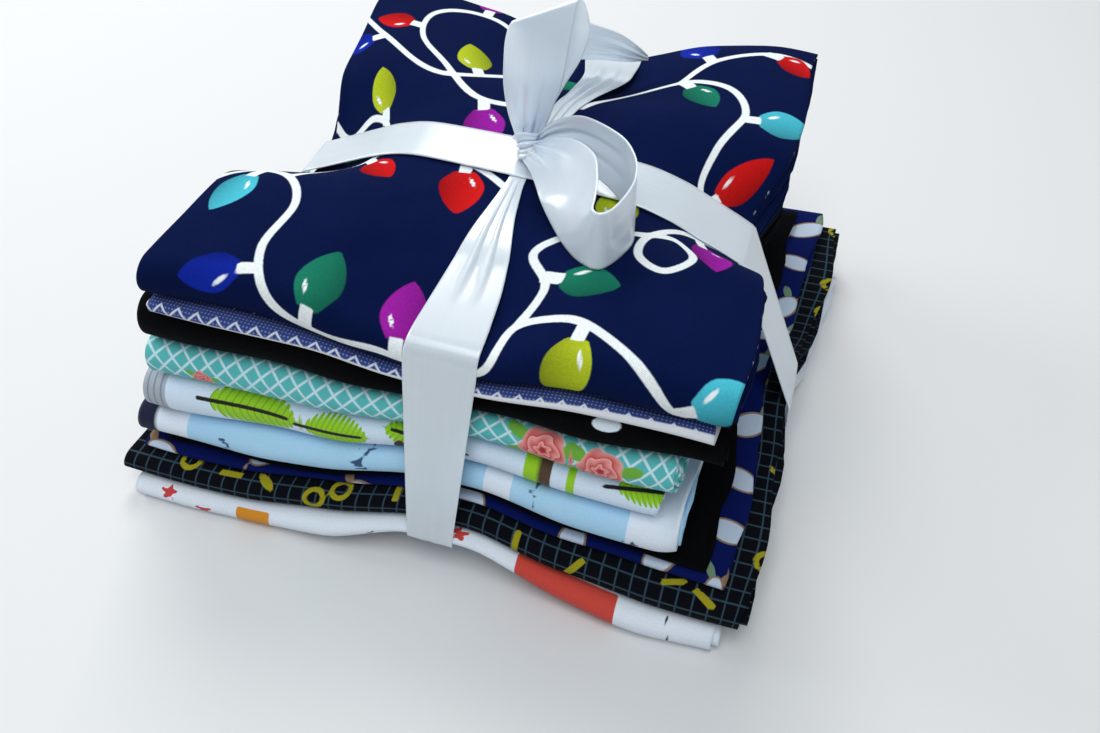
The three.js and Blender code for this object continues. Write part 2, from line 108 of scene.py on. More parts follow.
# straight lines through some values, softened by a blur in millimetres
def smoothCurve(places, values, blur):
    reach, step, tails = 260, 0.5, 4
    grid = np.arange(-reach, reach + step / 2, step)
    curve = np.interp(grid, places, values)
    steps = np.arange(-int(tails * blur), int(tails * blur) + 1)
    kernel = np.exp(-0.5 * (steps * step / blur) ** 2)
    padded = np.pad(curve, len(steps) // 2, mode="edge")
    curve = np.convolve(padded, kernel / kernel.sum(), mode="valid")
    return lambda at: np.interp(at, grid, curve)


# 1 under a turn of the ribbon, fading to a share at its reach and to nothing at the rim
def pullFrom(half, reach, atReach, blur):
    rim = stack["rim"]
    return smoothCurve([-rim, -reach, -half, half, reach, rim], [0, atReach, 1, 1, atReach, 0], blur)


near = pullFrom(stack["half"], stack["reach"], stack["atReach"], blur=5)
nearSide = pullFrom(stack["sideHalf"], stack["sideReach"], stack["atSideReach"], blur=4)
leftBack = smoothCurve([stack["sideHalf"], stack["backReach"]], [1, 0], blur=4)
under = smoothCurve([-stack["reach"], -stack["half"], stack["half"], stack["reach"]], [0, 1, 1, 0], blur=4)
atRim = smoothCurve([stack["reach"], stack["rim"]], [0, 1], blur=6)


# slow seeded waves, between about -1 and 1
def waves(seed, length, count, *places):
    rng = np.random.default_rng(seed)
    total = 0.0
    for _ in range(count):
        turn = rng.normal(size=len(places))
        turn *= 2 * math.pi / (length * rng.uniform(0.7, 1.6)) / np.linalg.norm(turn)
        total = total + np.sin(sum(t * p for t, p in zip(turn, places)) + rng.uniform(0, 6.28))
    return total / math.sqrt(count)


# where a point of the loose stack goes when the ribbon is drawn tight
def settle(x, y, z, leftPull=0.0):
    ax, ay = x - stack["crossX"], y - stack["crossY"]
    weights = {
        "front": near(ax) * atRim(-ay), "back": near(ax) * atRim(ay),
        "left": nearSide(ay) * atRim(-ax), "right": nearSide(ay) * atRim(ax),
    }
    over = ramp(z, stack["level"] - stack["levelSoft"], 2 * stack["levelSoft"])
    share = np.clip(z / stack["top"], 0, None) ** stack["pullPower"]
    rounded = np.clip((z - stack["roundFrom"]) / stack["roundOver"], 0, stack["roundMost"]) ** 2
    ends = ramp(np.abs(ax), stack["dropFrom"], stack["dropOver"]) ** 2
    squeeze, tuck = stack["edgeDrop"] * over * ends * nearSide(ay), {}
    # in the upper cuts the left edge runs straight to the back corner
    upper = ramp(z, stack["straightFrom"], stack["straightOver"])
    leftNear = nearSide(ay) + upper * np.where(ay > 0, leftBack(ay) - nearSide(ay), 0)
    for side, weight in weights.items():
        up, down, low, high = pulls[side]
        squeeze = squeeze + weight * (down + (up - down) * over)
        drawn = low + (high - low) * share
        tuck[side] = weight * drawn
        if side == "left":
            tuck[side] = leftNear * atRim(-ax) * (drawn + leftPull)
        if side in ("left", "right"):
            tuck[side] = tuck[side] + weight * stack["roundEdge"] * rounded
    groove = np.maximum(under(ax), under(ay)) * np.clip(1 - z / stack["grooveDepth"], 0, 1)
    offFloor = ramp(z, stack["rippleFrom"], stack["rippleOver"])
    ripple = stack["ripple"] * offFloor * waves(3, stack["rippleLong"], 5, x, y, stack["rippleTilt"] * z)
    newZ = stack["level"] + (z - stack["level"]) * (1 - squeeze) + stack["grooveLift"] * groove + ripple
    return x * (1 - tuck["left"] - tuck["right"]), y * (1 - tuck["front"] - tuck["back"]), newZ


def highAt(cut, x):
    share = (x - stack["spanLeft"]) / (stack["spanRight"] - stack["spanLeft"])
    return cut["highLeft"] + (cut["highRight"] - cut["highLeft"]) * share


def floorOf(k, x):
    return sum((highAt(cut, x) for cut in cuts[:k]), 0 * x)


# main creases of the top cut, soft troughs that run out from the ribbon: start, end, half width and depth
creases = [
    ((-8, -62), (-46, -86), 7, 2.0), ((-8, -42), (-40, -56), 8, 1.3), ((19, -76), (50, -90), 7, 1.7),
    ((-88, -22), (-58, -48), 8, 1.8), ((-88, 2), (-56, 30), 8, 1.5), ((88, -24), (58, -54), 8, 1.6),
    ((88, 0), (60, 28), 9, 1.5), ((26, 80), (52, 58), 7, 1.4), ((-10, 82), (-36, 62), 7, 1.4),
]


def troughs(x, y):
    deepest, fade = 0.35, 0.42  # in shares of a crease's length
    total = 0.0
    for (x0, y0), (x1, y1), wide, deep in creases:
        dx, dy = x1 - x0, y1 - y0
        along = ((x - x0) * dx + (y - y0) * dy) / (dx * dx + dy * dy)
        aside = ((x - x0) * dy - (y - y0) * dx) / math.hypot(dx, dy)
        total = total + deep * np.exp(-((along - deepest) / fade) ** 2) * np.exp(-(aside / wide) ** 2)
    return total


# soft rise of the top cut between the ribbon's turns
def crown(x, y):
    bulge = lambda t: np.clip(1 - np.abs(t / stack["crownEdge"]) ** stack["crownPower"], 0, 1)
    ax, ay = x - stack["crossX"], y - stack["crossY"]
    pressed = np.maximum(under(ax), under(ay))
    soft = bulge(x) * bulge(y)
    rise = stack["crown"] * soft * (1 - stack["crownPressed"] * pressed)
    free = (1 - under(ax)) * (1 - under(ay))
    uneven = stack["crownWave"] * waves(13, stack["crownLong"], 5, x, y) - troughs(x, y)
    return rise + free * uneven * np.clip(soft * 1.5, 0, 1)


def placed(k, x, y, share):
    z = floorOf(k, x) + share * (highAt(cuts[k], x) - stack["cutGap"])
    if k == topCut:
        z = z + crown(x, y) * np.clip(share, 0, 1)
    return settle(x, y, z, cuts[k].get("leftPull", 0.0))


def topOf(x, y):
    return placed(topCut, np.asarray(x, float), np.asarray(y, float), 1.0)[2]


# loose place on the top cut of a point that lies on the tied stack
def looseTop(x, y):
    looseX, looseY = x, y
    for _ in range(6):
        nowX, nowY, _ = placed(topCut, looseX, looseY, 1.0)
        looseX, looseY = looseX + x - nowX, looseY + y - nowY
    return looseX, looseY


folds = {
    "denseFor": 24, "denseRows": 18,  # rows closer together by the front fold
    "frontSteps": 30, "innerSteps": 8, "backSteps": 6,  # steps round each turn
    "backShort": (3, 0, 0, 3.5, 3.5, 1.5, 1.5, 8),  # how far each pass stops short of the back
}


# centre line of a folded cut, as rows of depth and height, with its unit normal and flat length
def foldLine(cut):
    high = (cut["highLeft"] + cut["highRight"]) / 2
    n, sheet = cut["layers"], cut["sheet"]
    pitch = (high - sheet) / (n - 1)
    level = lambda i: sheet / 2 + i * pitch
    noseY = cut["front"] + high / 2
    order, low, top = [], 0, n - 1
    while low <= top:  # layers in the order the cloth passes them
        order += [top, low] if len(order) % 4 == 0 else [low, top]
        low, top = low + 1, top - 1
    order = list(dict.fromkeys(order))
    points = []

    def run(height, start, end, spacing, dense):
        span = abs(end - start)
        places = np.linspace(0, 1, max(3, int(span / spacing) + 1))
        if dense:
            limit = folds["denseFor"] / span
            close = np.linspace(0, limit, folds["denseRows"])
            places = np.unique(np.concatenate([close, places[places > limit + 0.01]]))
            places = places if start == noseY else 1 - places[::-1]
        for p in places:
            points.append((start + (end - start) * p, height))

    def turn(y, a, b, bulge, steps):
        middle, radius = (a + b) / 2, abs(a - b) / 2
        for i in range(1, steps):
            angle = math.pi * i / steps
            points.append((y + bulge * radius * math.sin(angle), middle + (a - b) / 2 * math.cos(angle)))

    for i, layer in enumerate(order):
        toFront = i % 2 == 0
        backY = cut["back"] - folds["backShort"][i]
        start, end = (backY, noseY) if toFront else (noseY, backY)
        run(level(layer), start, end, cut["top"] if i == 0 else stack["hidden"], i < 2)
        if i + 1 < n:
            other = order[i + 1]
            if toFront:
                steps = folds["frontSteps"] if i == 0 else folds["innerSteps"]
                turn(noseY, level(layer), level(other), -1, steps)
            else:
                turn(backY, level(layer), level(other), 1, folds["backSteps"])
    line = np.array(points)
    keep = np.concatenate([[True], np.hypot(*np.diff(line, axis=0).T) > 1e-6])
    line = line[keep]
    tangent = np.gradient(line, axis=0)
    tangent /= np.hypot(*tangent.T)[:, None]
    normal = np.stack([-tangent[:, 1], tangent[:, 0]], 1)
    length = np.concatenate([[0], np.cumsum(np.hypot(*np.diff(line, axis=0).T))])
    flat = line[0, 0] - length  # equals the depth along the top layer and runs on round the fold
    return line, normal, flat, high


def quad(a, b, c, d):
    return np.stack([a.ravel(), b.ravel(), c.ravel(), d.ravel()], 1)


# only the vertices that faces use, the faces as four and three sided, and which vertices those are
def trimmed(verts, quads, triangles):
    quads = np.concatenate(quads)
    triangles = np.array(triangles, dtype=quads.dtype).reshape(-1, 3)
    used, corners = np.unique(np.concatenate([quads.ravel(), triangles.ravel()]), return_inverse=True)
    return verts[used], (corners[:quads.size].reshape(-1, 4), corners[quads.size:].reshape(-1, 3)), used


# vertices of two matching grids, and the number of each vertex in the first and in the second
def bothGrids(outer, inner):
    rows, cols = outer.shape[:2]
    index = np.arange(rows * cols).reshape(rows, cols)
    return np.concatenate([outer.reshape(-1, 3), inner.reshape(-1, 3)]), index, index + rows * cols


# closed mesh from two matching grids; rows that aren't full have only a few of the columns
def slab(outer, inner, full, few):
    verts, index, below = bothGrids(outer, inner)
    every = np.arange(outer.shape[1])
    start, end = (every if full[0] else few), (every if full[-1] else few)
    quads = [
        quad(index[:-1, 0], index[1:, 0], below[1:, 0], below[:-1, 0]),
        quad(index[:-1, -1], below[:-1, -1], below[1:, -1], index[1:, -1]),
        quad(index[0, start[:-1]], below[0, start[:-1]], below[0, start[1:]], index[0, start[1:]]),
        quad(index[-1, end[:-1]], index[-1, end[1:]], below[-1, end[1:]], below[-1, end[:-1]]),
    ]
    triangles = []
    for side, turn in ((index, 1), (below, -1)):
        for chosen, columns in ((full[:-1] & full[1:], every), (~full[:-1] & ~full[1:], few)):
            a, b = side[:-1][chosen][:, columns], side[1:][chosen][:, columns]
            quads.append(quad(*[a[:, :-1], a[:, 1:], b[:, 1:], b[:, :-1]][::turn]))
        for r in np.flatnonzero(full[:-1] != full[1:]):
            # fans join a full row to a row with few columns
            close, far, way = (side[r], side[r + 1], turn) if full[r] else (side[r + 1], side[r], -turn)
            for j0, j1 in zip(few[:-1], few[1:]):
                triangles += [(close[j], close[j + 1], far[j0])[::way] for j in range(j0, j1)]
                triangles.append((close[j1], far[j1], far[j0])[::way])
    return trimmed(verts, quads, triangles)


# band from a grid whose first and last rows meet
def ring(outer, inner):
    verts, index, below = bothGrids(outer, inner)
    ahead, belowAhead = np.roll(index, -1, axis=0), np.roll(below, -1, axis=0)
    return trimmed(verts, [
        quad(index[:, :-1], index[:, 1:], ahead[:, 1:], ahead[:, :-1]),
        quad(below[:, :-1], belowAhead[:, :-1], belowAhead[:, 1:], below[:, 1:]),
        quad(index[:, 0], ahead[:, 0], belowAhead[:, 0], below[:, 0]),
        quad(index[:, -1], below[:, -1], belowAhead[:, -1], ahead[:, -1]),
    ], [])


def countOf(faces):
    return 2 * len(faces[0]) + len(faces[1])


# a mesh object on the CAD solids, with its flat cloth coordinates as a UV map in millimetres
def makePiece(name, verts, faces, flatUv, node):
    mesh = bpy.data.meshes.new(name)
    points = (verts + shift) * mm
    mesh.vertices.add(len(points))
    mesh.vertices.foreach_set("co", points.astype(np.float32).ravel())
    corners = np.concatenate([part.ravel() for part in faces]).astype(np.int32)
    sizes = np.repeat([4, 3], [len(part) for part in faces])
    mesh.loops.add(len(corners))
    mesh.loops.foreach_set("vertex_index", corners)
    mesh.polygons.add(len(sizes))
    mesh.polygons.foreach_set("loop_start", (np.cumsum(sizes) - sizes).astype(np.int32))
    mesh.update(calc_edges=True)
    mesh.validate()
    uv = mesh.uv_layers.new(name="flatCloth")
    uv.data.foreach_set("uv", flatUv[corners].astype(np.float32).ravel())
    mesh.polygons.foreach_set("use_smooth", np.ones(len(sizes), bool))
    piece = bpy.data.objects.new(name, mesh)
    bpy.context.scene.collection.objects.link(piece)
    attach(piece, "root")
    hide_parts(node)
    return piece


# how far the layers' ends and the front fold stray from straight, and where
stray = {
    "endReach": 14, "endLong": 55, "leftIn": 0.9, "leftWave": 0.9, "rightIn": 1.2, "rightWave": 1.3,
    "flareLeftFrom": 60, "flareLeftOver": 40, "curlOver": 10, "curlLow": 0.35,
    "foldBehind": 14, "foldOver": 20, "foldWave": 0.9, "foldLong": 80, "heldByRibbon": 0.8,
    "quickStep": 1.6,
}


# one folded cut; returns the piece and the flat coordinates of its vertices
def foldedCut(cut):
    k = byName[cut["name"]]
    left, right, sheet = cut["left"], cut["right"], cut["sheet"]
    line, normal, flat, high = foldLine(cut)
    spacing = cut["dx"] if fine else cut["dx"] * stray["quickStep"]
    cols = int((right - left) / spacing) + 1
    across = np.linspace(left, right, cols)[None, :]
    y0, h0 = line[:, :1], line[:, 1:]
    depth = (y0 - cut["front"]) / (cut["back"] - cut["front"])
    # the layers' cut ends are a little uneven
    uneven = waves(40 + k, stray["endLong"], 4, flat)[:, None]
    endLeft = (1 - ramp(across, left, stray["endReach"])) ** 2
    endRight = (1 - ramp(-across, -right, stray["endReach"])) ** 2
    x = across + cut["flare"] * depth * ramp(across, stack["flareFrom"], right - stack["flareFrom"] + 1e-6)
    x = x + endLeft * (stray["leftIn"] + stray["leftWave"] * uneven)
    x = x + endRight * (stray["rightWave"] * uneven - stray["rightIn"])
    farLeft = ramp(-across, stray["flareLeftFrom"], stray["flareLeftOver"])
    x = x + cut.get("flareLeft", 0) * np.clip(depth, 0, 1) * farLeft
    curl = cut.get("curl", 0) * ramp(across, right - stray["curlOver"], stray["curlOver"]) ** 2
    # the front fold wanders a little, less by the ribbon
    noseY = cut["front"] + high / 2
    byFront = ramp(-y0, -noseY - stray["foldBehind"], stray["foldOver"])
    loose = 1 - stray["heldByRibbon"] * under(across - stack["crossX"])
    wander = byFront * loose * stray["foldWave"] * waves(60 + k, stray["foldLong"], 4, across)
    sides = []
    for sign in (0.5, -0.5):
        y = y0 + sign * sheet * normal[:, :1] + wander
        share = (h0 + sign * sheet * normal[:, 1:]) / high + 0 * across
        px, py, pz = placed(k, x, y, share)
        lift = curl * (stray["curlLow"] + (1 - stray["curlLow"]) * np.clip(share, 0, 1))
        sides.append(np.stack([px, py, pz + lift], -1))
    # all the columns by the front fold and on the top cut, only a few over hidden cloth
    turnLong = math.pi * (high - sheet) / 2
    full = flat >= noseY - turnLong - stack["nearFold"]
    if k != topCut:
        full &= flat <= noseY + stack["nearFold"]
    byEnd = across[0] < left + stack["nearEnd"]
    byEnd |= across[0] > right - cut.get("ledge", stack["nearEnd"])
    few = np.flatnonzero(byEnd | (np.arange(cols) % max(1, round(stack["hiddenStep"] / spacing)) == 0))
    verts, faces, used = slab(sides[0], sides[1], full, few)
    flatUv = np.stack([across + 0 * y0, flat[:, None] + 0 * across], -1).reshape(-1, 2)
    flatUv = np.concatenate([flatUv, flatUv])[used]
    piece = makePiece(cut["name"], verts, faces, flatUv, cut["name"])
    print("stage:", cut["name"], countOf(faces), "triangles")
    return piece, flatUv


# the way a motif points, as the cosine and sine of its turn in degrees
def heading(turn):
    return math.cos(math.radians(turn)), math.sin(math.radians(turn))


def motif(shape, u, v, turn, long, wide, tint, **more):
    return {"shape": shape, "u": u, "v": v, "turn": turn, "long": long, "wide": wide, "tint": tint, **more}


def stroke(path, wide, tint):
    return {"shape": strand, "path": path, "wide": wide, "tint": tint}


# distance fields of print motifs, in millimetres on the flat cloth, negative inside
def turned(u, v, row):
    c, s = heading(row["turn"])
    du, dv = u - row["u"], v - row["v"]
    return du * c + dv * s, dv * c - du * s


def ellipse(u, v, row):
    a, b = turned(u, v, row)
    return (np.hypot(a / row["long"], b / row["wide"]) - 1) * min(row["long"], row["wide"])


def block(u, v, row):
    a, b = turned(u, v, row)
    return np.maximum(np.abs(a) - row["long"], np.abs(b) - row["wide"])


def hoop(u, v, row):
    a, b = turned(u, v, row)
    return np.abs(np.hypot(a, b) - row["long"]) - row["wide"]


# five soft points, with hollows nearer the middle
def star(u, v, row):
    a, b = turned(u, v, row)
    middle, swing = (row["long"] + row["wide"]) / 2, (row["long"] - row["wide"]) / 2
    return np.hypot(a, b) - (middle + swing * np.cos(5 * np.arctan2(b, a)))


# pointed bulb, round by its socket
def bulb(u, v, row):
    a, b = turned(u, v, row)
    t = np.clip(a / row["long"], 0, 1)
    fat = 0.38  # where along it the bulb is widest
    base = 0.45 + 0.55 * np.sin(math.pi / 2 * np.clip(t / fat, 0, 1))
    tip = np.clip(1 - np.clip((t - fat) / (1 - fat), 0, 1) ** 1.9, 0, 1) ** 0.85
    side = np.abs(b) - row["wide"] * np.where(t < fat, base, tip)
    past = np.hypot(np.maximum(a - row["long"], 0), b)
    return np.where(a > row["long"], past, np.maximum(0.8 * side, -a))


# smooth curve through rows of numbers
def spline(rows, count):
    rows = np.array(rows, float)
    at = np.linspace(0, len(rows) - 1.0001, count)
    i = at.astype(int)
    t = (at - i)[:, None]
    p = lambda k: rows[np.clip(k, 0, len(rows) - 1)]
    a, b, c, d = p(i - 1), p(i), p(i + 1), p(i + 2)
    return 0.5 * (2 * b + (c - a) * t + (2 * a - 5 * b + 4 * c - d) * t**2 + (3 * b - a - 3 * c + d) * t**3)


def strand(u, v, row):
    best = np.full(u.shape, 1e3)
    curve = spline(row["path"], (len(row["path"]) - 1) * 12)
    for (u0, v0), (u1, v1) in zip(curve[:-1], curve[1:]):
        du, dv = u1 - u0, v1 - v0
        along = np.clip(((u - u0) * du + (v - v0) * dv) / (du * du + dv * dv + 1e-9), 0, 1)
        best = np.minimum(best, np.hypot(u - u0 - along * du, v - v0 - along * dv))
    return best - row["wide"]


# stores one layer of motifs on a piece: a distance and the colour of the nearest motif
def paintLayer(piece, flatUv, number, rows):
    u, v = flatUv[:, 0], flatUv[:, 1]
    best = np.full(len(u), 1e3)
    tint = np.ones((len(u), 4))
    for row in rows:
        found = row["shape"](u, v, row)
        closer = found < best
        best = np.where(closer, found, best)
        tint[closer, :3] = row["tint"]
        if "shade" in row:  # darker towards one side
            aside = np.clip(turned(u, v, row)[1] / row["wide"], -1, 1)
            tint[closer, :3] *= (1 - row["shade"] * (0.5 - 0.5 * aside) ** 1.5)[closer, None]
    field = piece.data.attributes.new(f"motif{number}", "FLOAT", "POINT")
    field.data.foreach_set("value", best.astype(np.float32))
    colours = piece.data.attributes.new(f"tint{number}", "FLOAT_COLOR", "POINT")
    colours.data.foreach_set("color", tint.astype(np.float32).ravel())


# stores where each vertex lies on the nearest of some motifs, in shares of its length and half width, and how
# far outside an oval round it
def paintPlaces(piece, flatUv, rows):
    u, v = flatUv[:, 0], flatUv[:, 1]
    best = np.full(len(u), 1e3)
    places = np.zeros((len(u), 3))
    for row in rows:
        a, b = turned(u, v, row)
        a, b = a / row["long"], b / row["wide"]
        away = np.hypot((a - row["middle"]) / row["span"], b / 1.15) - 1
        closer = away < best
        best = np.where(closer, away, best)
        places[closer, :2] = np.stack([a, b], 1)[closer]
    places[:, 2] = best
    field = piece.data.attributes.new("motifPlace", "FLOAT_VECTOR", "POINT")
    field.data.foreach_set("vector", places.astype(np.float32).ravel())


# small helpers for node trees: inputs are sockets or numbers
def feed(tree, socket, value):
    if isinstance(value, bpy.types.NodeSocket):
        tree.links.new(value, socket)
    elif value is not None:
        socket.default_value = value


def setSockets(node, values):
    for name, value in values.items():
        node.inputs[name].default_value = value


def calc(tree, kind, a, b=None, c=None):
    n = tree.nodes.new("ShaderNodeMath")
    n.operation = kind
    for socket, value in zip(n.inputs, (a, b, c)):
        feed(tree, socket, value)
    return n.outputs[0]


# 1 where value is under the limit, with a soft edge
def insideOf(tree, value, limit, soft=0.2):
    n = tree.nodes.new("ShaderNodeMapRange")
    n.interpolation_type = "SMOOTHSTEP"
    feed(tree, n.inputs["Value"], value)
    setSockets(n, {"From Min": limit - soft, "From Max": limit + soft, "To Min": 1, "To Max": 0})
    return n.outputs["Result"]


def mixed(tree, share, a, b, kind="MIX"):
    n = tree.nodes.new("ShaderNodeMix")
    n.data_type = "RGBA"
    n.blend_type = kind
    feed(tree, n.inputs[0], share)
    for socket, value in ((n.inputs[6], a), (n.inputs[7], b)):
        feed(tree, socket, value if isinstance(value, bpy.types.NodeSocket) else (*value, 1))
    return n.outputs[2]


def noise(tree, place, scale, detail=2.0, rough=0.5):
    n = tree.nodes.new("ShaderNodeTexNoise")
    feed(tree, n.inputs["Vector"], place)
    setSockets(n, {"Scale": scale, "Detail": detail, "Roughness": rough})
    return n.outputs["Fac"]


def attribute(tree, name, output):
    n = tree.nodes.new("ShaderNodeAttribute")
    n.attribute_name = name
    return n.outputs[output]


def split(tree, vector):
    n = tree.nodes.new("ShaderNodeSeparateXYZ")
    tree.links.new(vector, n.inputs[0])
    return n.outputs


# distance to the nearest line of a set that repeats
def toLine(tree, value, pitch, start=0.0):
    return calc(tree, "PINGPONG", calc(tree, "ADD", value, start), pitch / 2)


# a new material, its nodes, its shader and the place on the flat cloth
def newMaterial(name):
    material = bpy.data.materials.new(name)
    material.use_nodes = True
    tree = material.node_tree
    uv = tree.nodes.new("ShaderNodeUVMap")
    uv.uv_map = "flatCloth"
    return material, tree, tree.nodes["Principled BSDF"], uv.outputs[0]


def addRelief(tree, shader, height, strength, distance):
    bump = tree.nodes.new("ShaderNodeBump")
    setSockets(bump, {"Strength": strength, "Distance": distance})
    tree.links.new(height, bump.inputs["Height"])
    tree.links.new(bump.outputs[0], shader.inputs["Normal"])


# what a cloth has unless its own dictionary says otherwise
clothLook = {
    "edge": 0.22, "threadPitch": 0.62, "threadTone": 0.05, "threadRelief": 0.35, "fluffScale": 1.6,
    "mottle": 0.3, "bump": 0.35, "rough": 0.88, "shine": 0.2, "sheen": 0.12, "nap": (0.9, 0.93, 1.0),
}


# woven cloth: ground colour, printed patterns, motif layers, thread bump and a soft nap
def clothMaterial(name, look, pattern=None, layers=0, topping=None):
    look = {**clothLook, **look}
    material, tree, shader, place = newMaterial(name)
    u, v, _ = split(tree, place)
    colour = mixed(tree, noise(tree, place, 0.05, 3), look["ground"], look["shade"])
    if pattern:
        colour = pattern(tree, u, v, place, colour)
    for number in range(layers):
        ragged = calc(tree, "MULTIPLY_ADD", noise(tree, place, 0.9, 2), 0.24, -0.12)
        edge = calc(tree, "ADD", attribute(tree, f"motif{number}", "Fac"), ragged)
        tint = attribute(tree, f"tint{number}", "Color")
        colour = mixed(tree, insideOf(tree, edge, 0, look["edge"]), colour, tint)
    if topping:
        colour = topping(tree, colour)
    # threads show as a fine change of tone and as relief
    turns = 2 * math.pi / look["threadPitch"]
    warp = calc(tree, "SINE", calc(tree, "MULTIPLY", u, turns))
    weft = calc(tree, "SINE", calc(tree, "MULTIPLY", v, turns))
    weave = calc(tree, "MULTIPLY", warp, weft)
    fluff = noise(tree, place, look["fluffScale"], 4, 0.65)
    tone = calc(tree, "MULTIPLY_ADD", fluff, look["mottle"], 1 - look["mottle"] / 2)
    tone = calc(tree, "MULTIPLY_ADD", weave, look["threadTone"], tone)
    greys = tree.nodes.new("ShaderNodeCombineXYZ")
    for socket in greys.inputs:
        tree.links.new(tone, socket)
    colour = mixed(tree, 1.0, colour, greys.outputs[0], "MULTIPLY")
    tree.links.new(colour, shader.inputs["Base Color"])
    relief = calc(tree, "MULTIPLY_ADD", weave, look["threadRelief"], fluff)
    addRelief(tree, shader, relief, look["bump"], 0.0006)
    setSockets(shader, {
        "Roughness": look["rough"], "Specular IOR Level": look["shine"], "Sheen Weight": look["sheen"],
        "Sheen Roughness": 0.45, "Sheen Tint": (*look["nap"], 1),
    })
    return material


def dress(name, look, pattern=None, motifs=(), places=None, topping=None):
    piece, flatUv = foldedCut(cuts[byName[name]])
    for number, rows in enumerate(motifs):
        paintLayer(piece, flatUv, number, rows)
    if places:
        paintPlaces(piece, flatUv, places)
    piece.data.materials.append(clothMaterial(name + "_cloth", look, pattern, len(motifs), topping))


# top cut: deep navy brushed cotton with strings of coloured bulbs, in a layout of its own
lights = {
    "ground": (0.0016, 0.0056, 0.040), "shade": (0.0026, 0.0085, 0.055), "sheen": 0.02, "shine": 0.03,
    "mottle": 0.5, "fluffScale": 1.1, "nap": (0.35, 0.45, 1.0), "bump": 0.45, "edge": 0.3,
    "cordHalf": 1.45, "cord": (0.80, 0.84, 0.84), "socket": 6.2, "capHalf": 2.3,
    "bulbLong": 22, "bulbHalf": 7.4, "bulbSizes": (1.0, 0.92, 1.06), "bulbShade": 0.5,
    "glint": (0.88, 0.92, 0.92), "glintLong": 2.7, "glintHalf": 0.8, "glintAlong": 6, "glintAside": 3.4,
    "glintTurn": 24,
    "thread": (0.42, 0.47, 0.55), "frayScale": 0.3, "frayReach": 3.2, "frayStart": -2.0, "frayFront": 8,
    "red": (0.60, 0.010, 0.010), "cyan": (0.07, 0.50, 0.62), "green": (0.012, 0.19, 0.115),
    "lime": (0.45, 0.54, 0.02), "magenta": (0.33, 0.014, 0.34), "royal": (0.006, 0.022, 0.34),
}
cords = {
    "frontLeft": [(-104, -56), (-90, -45), (-73, -48), (-62, -62), (-63, -84), (-54, -101), (-36, -107),
                  (-14, -104), (6, -110)],
    "middle": [(-73, -48), (-66, -30), (-50, -16), (-28, -14), (-8, -22), (2, -28)],
    "backLoop": [(-104, 70), (-88, 54), (-66, 38), (-42, 32), (-24, 44), (-18, 66), (-30, 84), (-52, 88),
                 (-68, 76), (-66, 56), (-48, 40), (-26, 20), (-6, 22)],
    "frontRight": [(6, -110), (20, -102), (25, -86), (40, -83), (56, -90), (72, -100), (86, -112),
                   (104, -118)],
    "curl": [(25, -86), (30, -70), (22, -57), (34, -46), (52, -40), (68, -36), (74, -48), (66, -58),
             (56, -52), (58, -38), (74, -26), (104, -22)],
    "backRight": [(14, 28), (26, 50), (46, 62), (66, 58), (76, 40), (71, 18), (77, -2), (104, -6)],
    "corner": [(46, 62), (58, 80), (80, 88), (104, 84)],
    "left": [(-104, 10), (-90, 2), (-78, 8), (-66, 2), (-60, -14)],
}
# cord, share of its length, the way the bulb points and its colour
bulbRows = [
    ("frontLeft", 0.16, 262, "cyan"), ("frontLeft", 0.56, 196, "royal"), ("frontLeft", 0.72, 84, "green"),
    ("frontLeft", 0.90, 96, "magenta"), ("middle", 0.30, -34, "red"), ("middle", 0.72, -78, "red"),
    ("left", 0.25, -48, "green"), ("left", 0.68, 112, "lime"), ("backLoop", 0.10, 205, "royal"),
    ("backLoop", 0.30, 118, "lime"), ("backLoop", 0.72, 172, "red"), ("backLoop", 0.93, -70, "magenta"),
    ("backLoop", 0.56, 96, "magenta"), ("backLoop", 0.40, 12, "green"), ("frontRight", 0.50, 262, "lime"),
    ("frontRight", 0.80, 24, "cyan"), ("curl", 0.12, -6, "green"), ("curl", 0.33, 96, "lime"),
    ("curl", 0.93, -86, "magenta"), ("backRight", 0.30, -52, "green"), ("backRight", 0.60, 12, "cyan"),
    ("backRight", 0.88, 62, "red"), ("corner", 0.62, -24, "red"), ("corner", 0.30, 118, "royal"),
]


def lightMotifs():
    strings = [stroke(path, lights["cordHalf"], lights["cord"]) for path in cords.values()]
    bulbs, caps = [], []
    far, glintFar = lights["socket"], lights["socket"] + lights["glintAlong"]
    for number, (cord, share, turn, tint) in enumerate(bulbRows):
        u, v = spline(cords[cord], 200)[int(share * 199)]
        c, s = heading(turn)
        size = lights["bulbSizes"][number % 3]
        bulbs.append(motif(bulb, u + far * c, v + far * s, turn, lights["bulbLong"] * size,
                           lights["bulbHalf"] * size, lights[tint], shade=lights["bulbShade"]))
        caps.append(motif(block, u + 0.5 * far * c, v + 0.5 * far * s, turn, 0.62 * far, lights["capHalf"],
                          lights["cord"]))
        glintU = u + glintFar * c - lights["glintAside"] * s
        glintV = v + glintFar * s + lights["glintAside"] * c
        caps.append(motif(ellipse, glintU, glintV, turn + lights["glintTurn"], lights["glintLong"],
                          lights["glintHalf"], lights["glint"]))
    return [strings, bulbs, caps]


